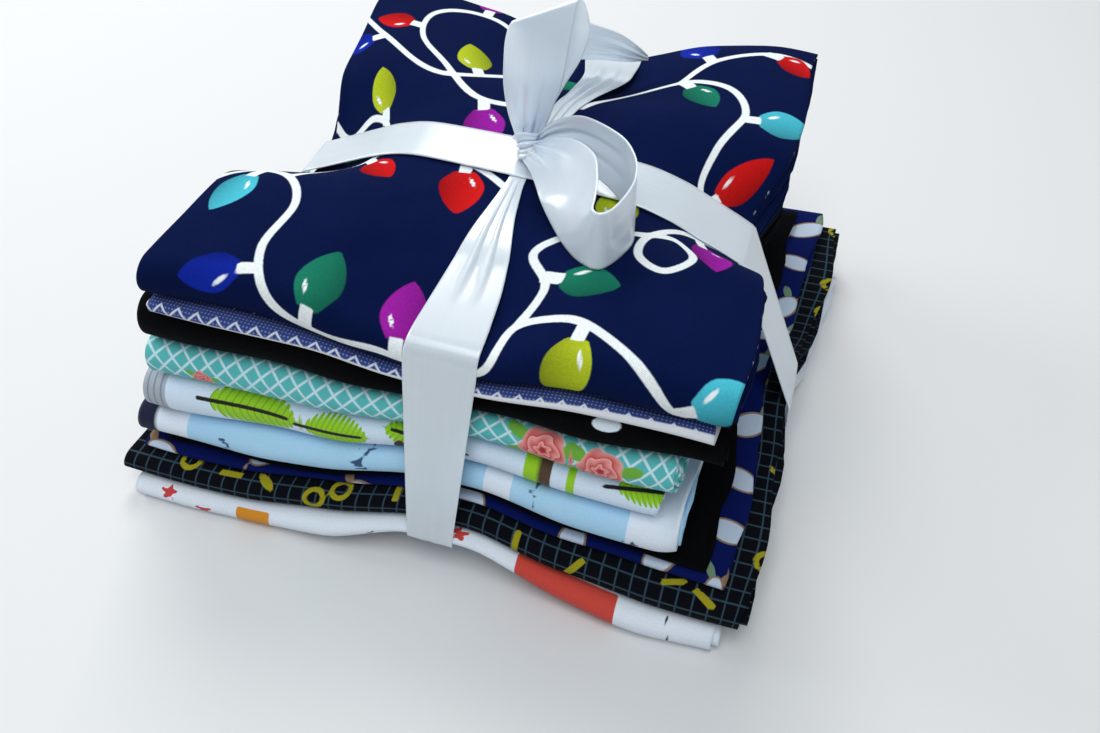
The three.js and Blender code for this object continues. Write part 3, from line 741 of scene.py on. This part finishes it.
# pale threads along the cut edges
def frayed(tree, u, v, place, colour):
    cut = cuts[topCut]
    toEnd = calc(tree, "SUBTRACT", cut["right"], calc(tree, "ABSOLUTE", u))
    toBack = calc(tree, "SUBTRACT", cut["back"] - folds["backShort"][0], v)
    threads = noise(tree, place, lights["frayScale"], 3)
    ragged = calc(tree, "MULTIPLY_ADD", threads, lights["frayReach"], lights["frayStart"])
    edge = calc(tree, "SUBTRACT", calc(tree, "MINIMUM", toEnd, toBack), ragged)
    onTop = calc(tree, "GREATER_THAN", v, cut["front"] + lights["frayFront"])
    mask = calc(tree, "MULTIPLY", insideOf(tree, edge, 0, 0.25), onTop)
    return mixed(tree, mask, colour, lights["thread"])


dress("navy_lights", lights, frayed, lightMotifs())

# thin denim-blue cut with white zigzags, fine dots and a white border that shows more towards the right
triangle = {
    "ground": (0.022, 0.045, 0.20), "shade": (0.034, 0.065, 0.27), "white": (0.66, 0.70, 0.80),
    "pitch": 7.0, "rowPitch": 9.0, "slope": 0.95, "rowStart": -2.6, "dotPitch": 1.3, "dotShare": 0.4,
    "border": (0.72, 0.73, 0.76), "borderAt": -103.7, "borderTilt": 0.0167,
}


def zigzags(tree, u, v, place, colour):
    slope = calc(tree, "MULTIPLY", toLine(tree, u, triangle["pitch"]), triangle["slope"])
    first = calc(tree, "SUBTRACT", v, slope)
    line = insideOf(tree, toLine(tree, first, triangle["rowPitch"], triangle["rowStart"]), 0.5, 0.25)
    toDot = calc(tree, "ADD", toLine(tree, v, triangle["dotPitch"]), toLine(tree, u, triangle["dotPitch"]))
    dots = calc(tree, "MULTIPLY", insideOf(tree, toDot, 0.3, 0.25), triangle["dotShare"])
    colour = mixed(tree, calc(tree, "MAXIMUM", line, dots), colour, triangle["white"])
    edge = calc(tree, "MULTIPLY_ADD", u, triangle["borderTilt"], triangle["borderAt"])
    return mixed(tree, insideOf(tree, calc(tree, "SUBTRACT", v, edge), 0, 0.3), colour, triangle["border"])


dress("blue_triangle", triangle, zigzags)

# plain black cut with one pale oval
plain = {
    "ground": (0.0012, 0.0012, 0.0016), "shade": (0.002, 0.002, 0.0025), "sheen": 0.012, "shine": 0.05,
    "nap": (0.6, 0.65, 0.8), "oval": (0.66, 0.74, 0.80),
}
dress("black_plain", plain, None, [[motif(ellipse, 60, -101, 0, 4.6, 2.4, plain["oval"])]])

# aqua cut with a white trellis, coral roses and leaves
trellis = {
    "ground": (0.088, 0.45, 0.45), "shade": (0.11, 0.52, 0.52), "white": (0.62, 0.82, 0.89), "pitch": 4.9,
    "coral": (0.58, 0.055, 0.06), "blush": (0.86, 0.40, 0.36), "core": (0.42, 0.025, 0.035),
    "leaf": (0.16, 0.42, 0.05), "leafTurns": (15, 150, 205, -35), "petals": 5, "rounds": 3.1,
    # middle and radius of each rose
    "roses": [(40, -107, 8.6), (60, -108.5, 8.2), (-86, -110.5, 4), (-20, -84, 8), (0, -128, 8), (78, -84, 7),
              (-60, -70, 8)],
}


def lattice(tree, u, v, place, colour):
    diagonal = trellis["pitch"] * 1.414
    a = toLine(tree, calc(tree, "ADD", u, v), diagonal)
    b = toLine(tree, calc(tree, "SUBTRACT", u, v), diagonal)
    return mixed(tree, insideOf(tree, calc(tree, "MINIMUM", a, b), 0.6, 0.48), colour, trellis["white"])


def roseLeaves():
    leaves = []
    for u, v, size in trellis["roses"]:
        for turn in trellis["leafTurns"]:
            c, s = heading(turn)
            leaves.append(motif(ellipse, u + 1.2 * size * c, v + 1.1 * size * s, turn,
                                0.55 * size, 0.27 * size, trellis["leaf"]))
    return [leaves]


# rounds of scalloped petals, each pale at its rim and deep at its root
def rosePetals(tree, colour):
    a, b, away = split(tree, attribute(tree, "motifPlace", "Vector"))
    radius = calc(tree, "SQRT", calc(tree, "ADD", calc(tree, "MULTIPLY", a, a), calc(tree, "MULTIPLY", b, b)))
    angle = calc(tree, "MULTIPLY", calc(tree, "ARCTAN2", b, a), trellis["petals"])
    around = calc(tree, "MULTIPLY_ADD", radius, 8, angle)
    layer = calc(tree, "MULTIPLY_ADD", calc(tree, "COSINE", around), 0.07, radius)
    rim = calc(tree, "FRACT", calc(tree, "MULTIPLY", layer, trellis["rounds"]))
    petal = mixed(tree, rim, trellis["coral"], trellis["blush"])
    petal = mixed(tree, insideOf(tree, radius, 0.15, 0.06), petal, trellis["core"])
    mask = calc(tree, "MULTIPLY", insideOf(tree, layer, 0.94, 0.05), insideOf(tree, away, 0, 0.05))
    return mixed(tree, mask, colour, petal)


rosePlaces = [{"u": u, "v": v, "turn": 20 * size, "long": size, "wide": size, "middle": 0, "span": 1.15}
              for u, v, size in trellis["roses"]]
dress("aqua_trellis", trellis, lattice, roseLeaves(), rosePlaces, rosePetals)

# white cut with lime fern sprays, a grey striped block at its left end and green bars at its right
fern = {
    "ground": (0.72, 0.84, 0.96), "shade": (0.63, 0.75, 0.89), "lime": (0.32, 0.62, 0.02),
    "deep": (0.13, 0.34, 0.02), "stem": (0.012, 0.014, 0.012), "stemHalf": 0.7, "brown": (0.09, 0.055, 0.03),
    "seed": (0.05, 0.035, 0.03), "grey": (0.40, 0.44, 0.50), "line": (0.22, 0.26, 0.32),
    "blockEnd": -104, "linePitch": 3.2, "blades": 12, "lean": 1.5,
    # foot, way it points, length and half width of each spray
    "sprays": [(-86, -105, -4, 34, 9.5), (-48, -108, -2, 24, 8), (66, -103, 6, 22, 6), (8, -108, 170, 26, 7),
               (-10, -80, 20, 34, 9)],
    # place, half width and colour of each bar
    "bars": [(36, 2.6, "lime"), (41, 2.0, "brown"), (50, 1.4, "lime")],
}


def stripes(tree, u, colour):
    area = insideOf(tree, u, fern["blockEnd"], 0.3)
    colour = mixed(tree, area, colour, fern["grey"])
    line = insideOf(tree, toLine(tree, u, fern["linePitch"], 0.4), 0.4, 0.25)
    return mixed(tree, calc(tree, "MULTIPLY", line, area), colour, fern["line"])


def stalks():
    rows = []
    for u, v, turn, long, wide in fern["sprays"]:
        c, s = heading(turn)
        place = lambda far, side: (u + far * c - side * s, v + far * s + side * c)
        path = [place(-5, -0.6), place(0.4 * long, 0), place(0.9 * long, 0)]
        rows.append(stroke(path, fern["stemHalf"], fern["stem"]))
    rows += [motif(block, u, -110, 0, half, 16, fern[tint]) for u, half, tint in fern["bars"]]
    rows.append(motif(ellipse, -12, -112, 0, 2.4, 4, fern["seed"]))
    return [rows]


# slanted blades to both sides of the stalk, paler than their ribs
def fernBlades(tree, u, v, place, colour):
    colour = stripes(tree, u, colour)
    along, across, away = split(tree, attribute(tree, "motifPlace", "Vector"))
    aside = calc(tree, "ABSOLUTE", across)
    swell = calc(tree, "MAXIMUM", calc(tree, "SINE", calc(tree, "MULTIPLY", along, math.pi)), 0.001)
    share = calc(tree, "DIVIDE", aside, calc(tree, "POWER", swell, 0.5))
    steps = calc(tree, "MULTIPLY_ADD", aside, -fern["lean"], calc(tree, "MULTIPLY", along, fern["blades"]))
    off = calc(tree, "PINGPONG", steps, 0.5)
    left = calc(tree, "MAXIMUM", calc(tree, "SUBTRACT", 1, calc(tree, "MULTIPLY", share, share)), 0)
    blade = insideOf(tree, calc(tree, "MULTIPLY_ADD", calc(tree, "SQRT", left), -0.6, off), 0, 0.05)
    mask = calc(tree, "MULTIPLY", insideOf(tree, away, 0, 0.03), insideOf(tree, share, 1, 0.04))
    green = mixed(tree, insideOf(tree, off, 0.06, 0.08), fern["lime"], fern["deep"])
    return mixed(tree, calc(tree, "MULTIPLY", blade, mask), colour, green)


sprayPlaces = [{"u": u, "v": v, "turn": turn, "long": long, "wide": wide, "middle": 0.5, "span": 0.56}
               for u, v, turn, long, wide in fern["sprays"]]
dress("white_fern", fern, fernBlades, stalks(), sprayPlaces)

# sky-blue and white panels with thin twigs and a dark patch at the left end
sky = {
    "ground": (0.38, 0.64, 0.86), "shade": (0.44, 0.70, 0.90), "white": (0.76, 0.83, 0.92),
    "patch": (0.006, 0.010, 0.035), "twig": (0.035, 0.09, 0.20), "twigHalf": 0.55,
    "sideHalf": 0.45, "sideLong": 3.6,
    # place, half width and colour of each panel
    "panels": [(-106, 7, "white"), (-117.5, 4.5, "patch"), (81, 10, "white"), (24, 5, "white")],
    # foot, way it points and length of each twig, and the share and turn of its side twigs
    "twigs": [(-30, -112, 60, 14), (-24, -116, 128, 9), (38, -112, 95, 13), (-80, -118, 110, 9),
              (70, -120, 60, 8)],
    "sides": [(0.35, 48), (0.6, -44), (0.8, 40)],
}


def panels():
    blocks = [motif(block, u, -110, 0, half, 60, sky[tint]) for u, half, tint in sky["panels"]]
    twigs = []
    for u, v, turn, size in sky["twigs"]:
        c, s = heading(turn)
        path = [(u, v), (u + 0.5 * size * c + 1, v + 0.5 * size * s), (u + size * c, v + size * s)]
        twigs.append(stroke(path, sky["twigHalf"], sky["twig"]))
        for share, side in sky["sides"]:
            d, t = heading(turn + side)
            footU, footV = u + share * size * c, v + share * size * s
            path = [(footU, footV), (footU + sky["sideLong"] * d, footV + sky["sideLong"] * t)]
            twigs.append(stroke(path, sky["sideHalf"], sky["twig"]))
    return [blocks, twigs]


dress("sky_panel", sky, None, panels())

# thin plain black cut
thin = {
    "ground": (0.0012, 0.0012, 0.0016), "shade": (0.002, 0.002, 0.0025), "sheen": 0.012, "shine": 0.05,
    "nap": (0.6, 0.65, 0.8),
}
dress("black_thin", thin)

# royal navy cut with pale petals, sage leaves and tan sprigs
sprig = {
    "ground": (0.0022, 0.0066, 0.070), "shade": (0.0034, 0.009, 0.095), "sheen": 0.02, "shine": 0.04,
    "petal": (0.50, 0.58, 0.70), "sage": (0.16, 0.26, 0.17), "tan": (0.26, 0.17, 0.10),
    "columns": (-112, -70, -28, 12, 52, 84, 104), "rows": 9, "rowStart": -112, "rowPitch": 25, "rowStep": 9,
    "petalSize": (7.5, 4.3), "rimSize": (8.2, 5.1), "leafSize": (4.6, 1.7),
    "leafAlong": 9, "leafAside": 4, "leafTurn": 40, "twig": [(-6, 0), (-12, -2)], "twigHalf": 0.6,
}


def sprigs():
    rng = np.random.default_rng(7)
    rims, petals, twigs = [], [], []
    for i in range(sprig["rows"]):
        for j, u in enumerate(sprig["columns"]):
            v = sprig["rowStart"] + sprig["rowPitch"] * i + sprig["rowStep"] * (j % 2) + rng.uniform(-4, 4)
            turn = rng.uniform(0, 180)
            c, s = heading(turn)
            place = lambda far, side: (u + far * c - side * s, v + far * s + side * c)
            rims.append(motif(ellipse, u, v, turn, *sprig["rimSize"], sprig["tan"]))
            petals.append(motif(ellipse, u, v, turn, *sprig["petalSize"], sprig["petal"]))
            for side, tint in ((1, "sage"), (-1, "tan")):
                leafU, leafV = place(sprig["leafAlong"], sprig["leafAside"] * side)
                leafTurn = turn + sprig["leafTurn"] * side
                twigs.append(motif(ellipse, leafU, leafV, leafTurn, *sprig["leafSize"], sprig[tint]))
            twigs.append(stroke([place(*end) for end in sprig["twig"]], sprig["twigHalf"], sprig["tan"]))
    return [twigs, rims, petals]


dress("navy_sprig", sprig, None, sprigs())

# black cut with a thin steel-blue check and yellow rings, bars and ovals
windowpane = {
    "ground": (0.0016, 0.0022, 0.0045), "shade": (0.003, 0.0038, 0.0065), "line": (0.032, 0.062, 0.085),
    "yellow": (0.33, 0.29, 0.014), "pitch": 5.5, "sheen": 0.015, "shine": 0.06,
    # shape, length and half width of each kind of mark, and one place in four left bare
    "marks": [(hoop, 3.6, 1.0), (block, 4.6, 1.2), (ellipse, 5.2, 1.7), None],
}


def check(tree, u, v, place, colour):
    a = toLine(tree, u, windowpane["pitch"], 1.3)
    b = toLine(tree, v, windowpane["pitch"], 2.2)
    return mixed(tree, insideOf(tree, calc(tree, "MINIMUM", a, b), 0.3, 0.2), colour, windowpane["line"])


def marks():
    rng = np.random.default_rng(21)
    rows = []
    for u in np.arange(-118, 122, 17.0):
        for v in np.arange(-132, 100, 19.0):
            mark = windowpane["marks"][rng.integers(0, 4)]
            place = u + rng.uniform(-4, 4), v + rng.uniform(-4, 4), rng.uniform(0, 180)
            if mark:
                shape, long, wide = mark
                rows.append(motif(shape, *place, long, wide, windowpane["yellow"]))
    return [rows]


dress("black_windowpane", windowpane, check, marks())

# white cut with coral blocks, a plain orange block, small red stars and thin dashes
coral = {
    "ground": (0.82, 0.87, 0.94), "shade": (0.74, 0.80, 0.88), "coral": (0.62, 0.065, 0.045),
    "orange": (0.70, 0.27, 0.02), "red": (0.60, 0.05, 0.05), "dash": (0.05, 0.055, 0.07),
    # middle, half sizes and colour of each block
    "blocks": [(53, -128, 19, 14, "coral"), (-71, -126, 7, 7, "orange"), (118, 20, 6, 18, "coral"),
               (-30, -150, 16, 10, "coral")],
    "stars": [(-107, -120), (-92, -124), (-115, -132), (-50, -132), (12, -118)],
    "starLong": 3.6, "starHollow": 1.152, "starTurn": 18,
    "dashes": [(92, -124, 80), (93, -129, 84), (90, -118, 76), (-22, -124, 30), (4, -120, 60)],
}


def blocks():
    rows = [motif(block, u, v, 0, long, wide, coral[tint]) for u, v, long, wide, tint in coral["blocks"]]
    small = [motif(star, u, v, coral["starTurn"], coral["starLong"], coral["starHollow"], coral["red"])
             for u, v in coral["stars"]]
    small += [motif(block, u, v, turn, 2.2, 0.45, coral["dash"]) for u, v, turn in coral["dashes"]]
    return [rows, small]


dress("white_coral", coral, None, blocks())
print("stage: cuts dressed")

# satin ribbon, 25 mm wide
satin = {
    "colour": (0.70, 0.80, 0.94), "streakDark": 0.95, "streakLight": 1.04, "rough": 0.25, "through": 0.9,
    "throughLength": 0.0018, "thick": 0.5, "half": 12.5, "clear": 0.45,
}
ribbonLift = satin["clear"] + satin["thick"] / 2  # from the cloth to the middle of the ribbon


def satinMaterial():
    material, tree, shader, place = newMaterial("ribbon_satin")
    stretch = tree.nodes.new("ShaderNodeMapping")
    stretch.inputs["Scale"].default_value = (1.1, 0.02, 1)
    tree.links.new(place, stretch.inputs["Vector"])
    streak = noise(tree, stretch.outputs[0], 1.0, 4, 0.6)
    dark, light = [tuple(satin[tone] * x for x in satin["colour"]) for tone in ("streakDark", "streakLight")]
    tree.links.new(mixed(tree, streak, dark, light), shader.inputs["Base Color"])
    addRelief(tree, shader, streak, 0.05, 0.0005)
    grain = tree.nodes.new("ShaderNodeTangent")
    grain.direction_type = "UV_MAP"
    grain.uv_map = "flatCloth"
    tree.links.new(grain.outputs[0], shader.inputs["Tangent"])
    setSockets(shader, {
        "Roughness": satin["rough"], "Anisotropic": 0.6, "Specular IOR Level": 1.0, "IOR": 1.65,
        "Subsurface Weight": satin["through"], "Subsurface Radius": (1.0, 1.0, 1.0),
        "Subsurface Scale": satin["throughLength"], "Sheen Weight": 0.1, "Sheen Roughness": 0.3,
    })
    return material


satinLook = satinMaterial()


def unit(a):
    return a / np.maximum(np.linalg.norm(a, axis=-1, keepdims=True), 1e-9)


# evens out a closed row of values or points
def relaxed(values, rounds):
    for _ in range(rounds):
        values = 0.5 * values + 0.25 * (np.roll(values, 1, 0) + np.roll(values, -1, 0))
    return values


# pleats of a gathered ribbon: place, width and height of the main creases, and finer ones where it is
# drawn in most
pleats = {
    "main": [(-0.36, 0.12, -1), (0.28, 0.11, -0.85), (-0.12, 0.16, 0.35), (0.52, 0.16, 0.3)],
    "small": 0.4, "smallTurns": 4.6, "smallStart": 0.6, "rise": 2.4, "slack": 0.25,
}


def pleated(v, gather):
    main = sum(high * np.exp(-((v - at) / wide) ** 2) for at, wide, high in pleats["main"])
    small = pleats["small"] * np.cos(pleats["smallTurns"] * math.pi * v + pleats["smallStart"])
    return np.clip(pleats["rise"] * gather - pleats["slack"], 0, 1) * (main + small * gather)


# ribbon between two edges, given at each step along it, with its pleats and its bulge to one side
def ribbonPiece(name, one, other, depth, bulge=0.0, closed=False, cols=33, lift=None):
    v = np.linspace(-1, 1, cols)[None, :]
    centre = (one + other) / 2
    along = lambda a: np.roll(a, -1, 0) - np.roll(a, 1, 0) if closed else np.gradient(a, axis=0)
    wide = np.linalg.norm(other - one, axis=1)
    face = unit(np.cross(unit(other - one), unit(along(centre))))
    gather = np.clip(1 - wide / (2 * satin["half"]), 0, 1)[:, None]
    height = depth * pleated(v, gather) + (np.zeros(len(one)) + bulge)[:, None] * (1 - v**2)
    grid = centre[:, None] + ((other - one) / 2)[:, None] * v[..., None] + face[:, None] * height[..., None]
    if lift is not None:
        grid = lift(grid)
    normal = unit(np.cross(np.gradient(grid, axis=1), along(grid)))
    outer, inner = grid + normal * satin["thick"] / 2, grid - normal * satin["thick"] / 2
    if closed:
        verts, faces, used = ring(outer, inner)
    else:
        verts, faces, used = slab(outer, inner, np.ones(len(outer), bool), np.arange(cols))
    run = np.concatenate([[0], np.cumsum(np.linalg.norm(np.diff(centre, axis=0), axis=1))])
    flatUv = np.stack([0 * run[:, None] + satin["half"] * v, run[:, None] + 0 * v], -1).reshape(-1, 2)
    piece = makePiece(name, verts, faces, np.concatenate([flatUv, flatUv])[used], "ribbon_tie")
    piece.data.materials.append(satinLook)


# taut closed outline round flat points, evenly spaced, soft at its bends and clear of the points
def tautLoop(points, clear, spacing):
    points = sorted(map(tuple, np.round(points, 4)))
    turnOf = lambda o, a, b: (a[0] - o[0]) * (b[1] - o[1]) - (a[1] - o[1]) * (b[0] - o[0])

    def chain(rows):
        kept = []
        for p in rows:
            while len(kept) > 1 and turnOf(kept[-2], kept[-1], p) <= 1e-9:
                kept.pop()
            kept.append(p)
        return kept[:-1]

    hull = np.array(chain(points) + chain(points[::-1]))
    sides = unit(np.roll(hull, -1, 0) - hull)
    out = np.stack([sides[:, 1], -sides[:, 0]], 1)
    path = np.vstack([hull, hull[:1]])
    run = np.concatenate([[0], np.cumsum(np.hypot(*np.diff(path, axis=0).T))])
    at = np.arange(0, run[-1], spacing)
    even = np.stack([np.interp(at, run, path[:, 0]), np.interp(at, run, path[:, 1])], 1)
    for _ in range(8):
        even = relaxed(even, 3)
        away = ((even[:, None] - hull[None]) * out[None]).sum(-1)
        even = even + out[away.argmax(1)] * np.maximum(clear - away.max(1), 0)[:, None]
    return even


# ribbon lies on the top cut over this height and inside these margins
onCut = {"height": 92, "right": 2, "front": 7, "back": 1}


# keeps ribbon that lies on the top cut clear of its cloth
def clearOfTop(grid):
    x, y, z = grid[..., 0], grid[..., 1], grid[..., 2]
    cut = cuts[topCut]
    looseX, looseY = looseTop(x, y)
    over = (z > onCut["height"]) & (looseX > cut["left"]) & (looseX < cut["right"] - onCut["right"])
    over &= (looseY > cut["front"] + onCut["front"]) & (looseY < cut["back"] - onCut["back"])
    grid[..., 2] = np.where(over, np.maximum(z, topOf(looseX, looseY) + ribbonLift), z)
    return grid


# front to back turn
frontTurn = {
    # depth from the crossing, how far its middle lies to the right of it, and half width on top
    "ahead": [(-95, 0, 12.5), (-82, 0.6, 12.2), (-64, 1.4, 10.6), (-49, 1.2, 8.6), (-32, 0.4, 5.4),
              (-14, 0, 3.0), (0, 0, 3.2), (20, 1.8, 4.0), (33, 3.3, 4.6), (50, 5.8, 5.6), (66, 9.5, 8.2),
              (74, 10.5, 9.6),
              (92, 8, 12.0), (104, 6.5, 12.5)],
    "cloth": (-11, 0, 11, 18), "spare": 0.2, "step": 1.5,  # where the cloth under it is measured
    "below": 8.5, "low": 15, "high": 95,  # half width at the foot of the front leg, and where it narrows
    "topFrom": 97, "topOver": 6, "frontOver": 40, "backAside": 6,
    "pleat": 2.4, "pleatHalf": 7, "sidePleat": 0.35,
}


def sectionAcross(places):
    section = []
    for k, cut in enumerate(cuts):
        line, normal, flat, high = foldLine(cut)
        rim = line + normal * cut["sheet"] / 2
        for x in places:
            px, py, pz = placed(k, x + 0 * rim[:, 0], rim[:, 0], rim[:, 1] / high)
            section.append(np.stack([py, pz], 1))
    return np.concatenate(section)


def makeFrontTurn():
    middle, half = stack["crossX"], satin["half"]
    section = sectionAcross([middle + aside for aside in frontTurn["cloth"]])
    y, z = tautLoop(section, ribbonLift + frontTurn["spare"], frontTurn["step"]).T
    onTop = ramp(z, frontTurn["topFrom"], frontTurn["topOver"])
    rows = np.array(frontTurn["ahead"])
    aside = relaxed(np.interp(y - stack["crossY"], rows[:, 0], rows[:, 1]), 6)
    topHalf = relaxed(np.interp(y - stack["crossY"], rows[:, 0], rows[:, 2]), 6)
    inFront = ramp(-y, 0, frontTurn["frontOver"])  # only the front leg narrows on its way down
    down = ramp(z, frontTurn["low"], frontTurn["high"] - frontTurn["low"])
    legHalf = half - (half - frontTurn["below"]) * (1 - down) * inFront
    legAside = (legHalf - half) + (1 - inFront) * frontTurn["backAside"] * down
    nowHalf = onTop * topHalf + (1 - onTop) * legHalf
    x = middle + onTop * aside + (1 - onTop) * legAside
    left, right = np.stack([x - nowHalf, y, z], 1), np.stack([x + nowHalf, y, z], 1)
    depth = frontTurn["pleat"] * onTop * np.minimum(nowHalf / frontTurn["pleatHalf"], 1)
    depth = (depth + frontTurn["sidePleat"] * (1 - onTop))[:, None]
    ribbonPiece("ribbon_front_turn", left, right, depth, 0, True, 33, clearOfTop)


makeFrontTurn()

# side to side turn: half width at its left end, depth of its middle at each end, and where the cloth is
# measured
sideTurn = {
    "left": 10, "leftY": -9.5, "rightY": -13, "from": -100, "over": 200, "cloth": (-12, 0, 12), "step": 1.5,
    "pleat": 0.3,
}


def makeSideTurn():
    section = []
    for k, cut in enumerate(cuts):
        across = np.linspace(cut["left"], cut["right"] + max(0, 0.5 * cut["flare"]), 90)
        for share in (0.0, 1.0):
            for ahead in sideTurn["cloth"]:
                px, py, pz = placed(k, across, stack["crossY"] + ahead + 0 * across, share)
                section.append(np.stack([px, pz], 1))
    x, z = tautLoop(np.concatenate(section), ribbonLift, sideTurn["step"]).T
    share = ramp(x, sideTurn["from"], sideTurn["over"])
    y = sideTurn["leftY"] + (sideTurn["rightY"] - sideTurn["leftY"]) * share
    half = sideTurn["left"] + (satin["half"] - sideTurn["left"]) * share
    one, other = np.stack([x, y - half, z], 1), np.stack([x, y + half, z], 1)
    ribbonPiece("ribbon_side_turn", one, other, sideTurn["pleat"], 0, True, 19, clearOfTop)


makeSideTurn()

# the bow: rows of the ribbon's two edges, each as x, y and rise over the top cut at the knot, and the bulge
# between them
knotBase = float(topOf(stack["crossX"], stack["crossY"]))
bow = {
    "ribbon_upright_loop": [
        (3, -13, 5, 7, -9, 5, 0), (0, -11, 11, 9.5, -6, 11, 0), (-2, -12, 20, 12.5, -5.5, 20, 1.0),
        (-2.8, -13.2, 30, 16, -6.5, 31.5, 1.6), (-2.6, -13.5, 39, 17, -4.5, 41, 1.2),
        (-2, -13, 47, 17.8, -1.5, 50, 0.4), (-0.5, -11.5, 52.5, 18.3, 2.5, 56.5, 0),
        (1, -7.5, 51, 20, 5, 54, 0), (2, -4.5, 45, 22.2, 4, 45.5, 0), (2.5, -3, 36, 19.5, 3.5, 35, 0),
        (3, -3.5, 26, 14, 3, 24, 0),
        (4, -6, 15, 9.5, -1, 14, 0), (4, -8, 5, 7, -5, 5, 0)],
    "ribbon_standing_loop": [
        (3, -14, 3.5, 8, -9, 7.5, 0), (9.5, -24, 6, 22, -18.5, 18, 1.5), (15, -34, 8, 34, -31.5, 23.5, 3),
        (19, -41, 7.5, 39, -44, 24.3, 3), (24.5, -47, 4, 41, -54, 23.8, 1.5),
        (31.5, -54, 1.2, 42, -60.5, 23.8, 0.5), (39, -60.5, 0.9, 45, -62, 24, 0),
        (46, -63, 0.9, 48, -58, 24, 0), (51, -55.5, 0.9, 50.3, -48.5, 24, 0),
        (52.5, -45, 1.2, 50.5, -40, 24.3, 0), (48, -33.5, 2, 47.5, -30, 24.5, -0.6),
        (39, -23, 3.5, 40, -20.5, 24.5, -1.2), (26, -14.5, 4.5, 24.5, -11, 22.5, -1),
        (15, -9.5, 4.5, 13, -6.5, 15, 0), (8, -10, 3.5, 6.5, -7, 8, 0)],
    "ribbon_tail": [
        (5, -7, 4, 5, -7, 9, 0), (-2, 6, 2.5, -3.5, 7, 15, 0), (-6.5, 24, 1.5, -8.5, 25, 22, 0),
        (-5, 44, 1.2, -6, 42, 24, 0), (2, 59, 0.8, 4, 53, 22, 0), (10, 62.5, 0.8, 11, 57, 19, 0),
        (18, 64, 0.8, 19.5, 61, 15, 0), (25, 65.5, 0.8, 26, 65, 9, 0), (30, 68.5, 0.9, 30.3, 68.7, 3, 0)],
}
bowPleat = 1.6


def makeBow():
    for name, rows in bow.items():
        table = spline(rows, 12 * (len(rows) - 1))
        one, other = table[:, :3].copy(), table[:, 3:6].copy()
        for edge in (one, other):
            edge[:, 2] = np.maximum(edge[:, 2] + knotBase, topOf(edge[:, 0], edge[:, 1]) + ribbonLift)
        ribbonPiece(name, one, other, bowPleat, table[:, 6])


makeBow()

knot = {
    "wide": 4.6, "tall": 4.4, "half": 3.8, "swell": 0.8, "axis": (0.35, -0.45, -0.8), "rise": 6.8,
    "pleat": 1.0, "bulge": -1.2,
}


def makeKnot():
    angle = np.linspace(0, 2 * math.pi, 64, endpoint=False)
    through = unit(np.array(knot["axis"]))
    side = unit(np.cross(through, (0, 0, 1.0)))
    upward = np.cross(side, through)
    middle = np.array([stack["crossX"], stack["crossY"], knotBase + knot["rise"]])
    centre = middle + knot["wide"] * np.cos(angle)[:, None] * side
    centre = centre + knot["tall"] * np.sin(angle)[:, None] * upward
    half = (knot["half"] + knot["swell"] * np.sin(2 * angle))[:, None] * through
    ribbonPiece("ribbon_knot", centre - half, centre + half, knot["pleat"], knot["bulge"], True, 25)


makeKnot()
print("stage: ribbon tied")

# floor, light and the photo's camera
floorMesh = bpy.data.meshes.new("floor")
floorMesh.from_pydata([(-3, -3, 0), (3, -3, 0), (3, 3, 0), (-3, 3, 0)], [], [(0, 1, 2, 3)])
floor = bpy.data.objects.new("floor", floorMesh)
bpy.context.scene.collection.objects.link(floor)
floorLook = bpy.data.materials.new("floor_white")
floorLook.use_nodes = True
setSockets(floorLook.node_tree.nodes["Principled BSDF"], {"Base Color": (0.7, 0.7, 0.7, 1), "Roughness": 0.9})
floorMesh.materials.append(floorLook)

lighting = {"world": 0.38, "worldTint": (0.86, 0.93, 1.0), "aim": (0, 0, 0.06)}
lamps = [
    {"name": "key", "place": (-0.35, 0.75, 1.1), "size": 0.6, "power": 9, "tint": (1.0, 0.99, 0.97)},
    {"name": "fill", "place": (0.1, -0.5, 1.3), "size": 0.7, "power": 9, "tint": (0.94, 0.98, 1.0)},
    {"name": "side", "place": (-1.0, 0.15, 0.7), "size": 0.5, "power": 4, "tint": (0.97, 0.99, 1.0)},
]
world = bpy.data.worlds.new("studio")
bpy.context.scene.world = world
world.use_nodes = True
setSockets(world.node_tree.nodes["Background"],
           {"Color": (*lighting["worldTint"], 1), "Strength": lighting["world"]})
for row in lamps:
    light = bpy.data.lights.new(row["name"], "AREA")
    light.size = row["size"]
    light.energy = row["power"]
    light.color = row["tint"]
    lamp = bpy.data.objects.new(row["name"], light)
    lamp.location = row["place"]
    toAim = Vector(lighting["aim"]) - Vector(row["place"])
    lamp.rotation_euler = toAim.to_track_quat("-Z", "Y").to_euler()
    bpy.context.scene.collection.objects.link(lamp)

view = {
    "place": (98.66, -297.10, 327.78), "lens": 32.73,
    "right": (0.95567, 0.29418, 0.01243), "up": (-0.22348, 0.69720, 0.68115),
}
camera = bpy.data.objects.new("photo_camera", bpy.data.cameras.new("photo_camera"))
camera.data.sensor_fit = "HORIZONTAL"
camera.data.sensor_width = 36
camera.data.lens = view["lens"]
camera.data.clip_start = 0.01
right, up = Vector(view["right"]).normalized(), Vector(view["up"]).normalized()
facing = Matrix((right, up, right.cross(up))).transposed().to_4x4()
camera.matrix_world = Matrix.Translation(Vector((np.array(view["place"]) + shift) * mm)) @ facing
bpy.context.scene.collection.objects.link(camera)
bpy.context.scene.camera = camera
bpy.context.scene.view_settings.view_transform = "Standard"

print("stage: finished")
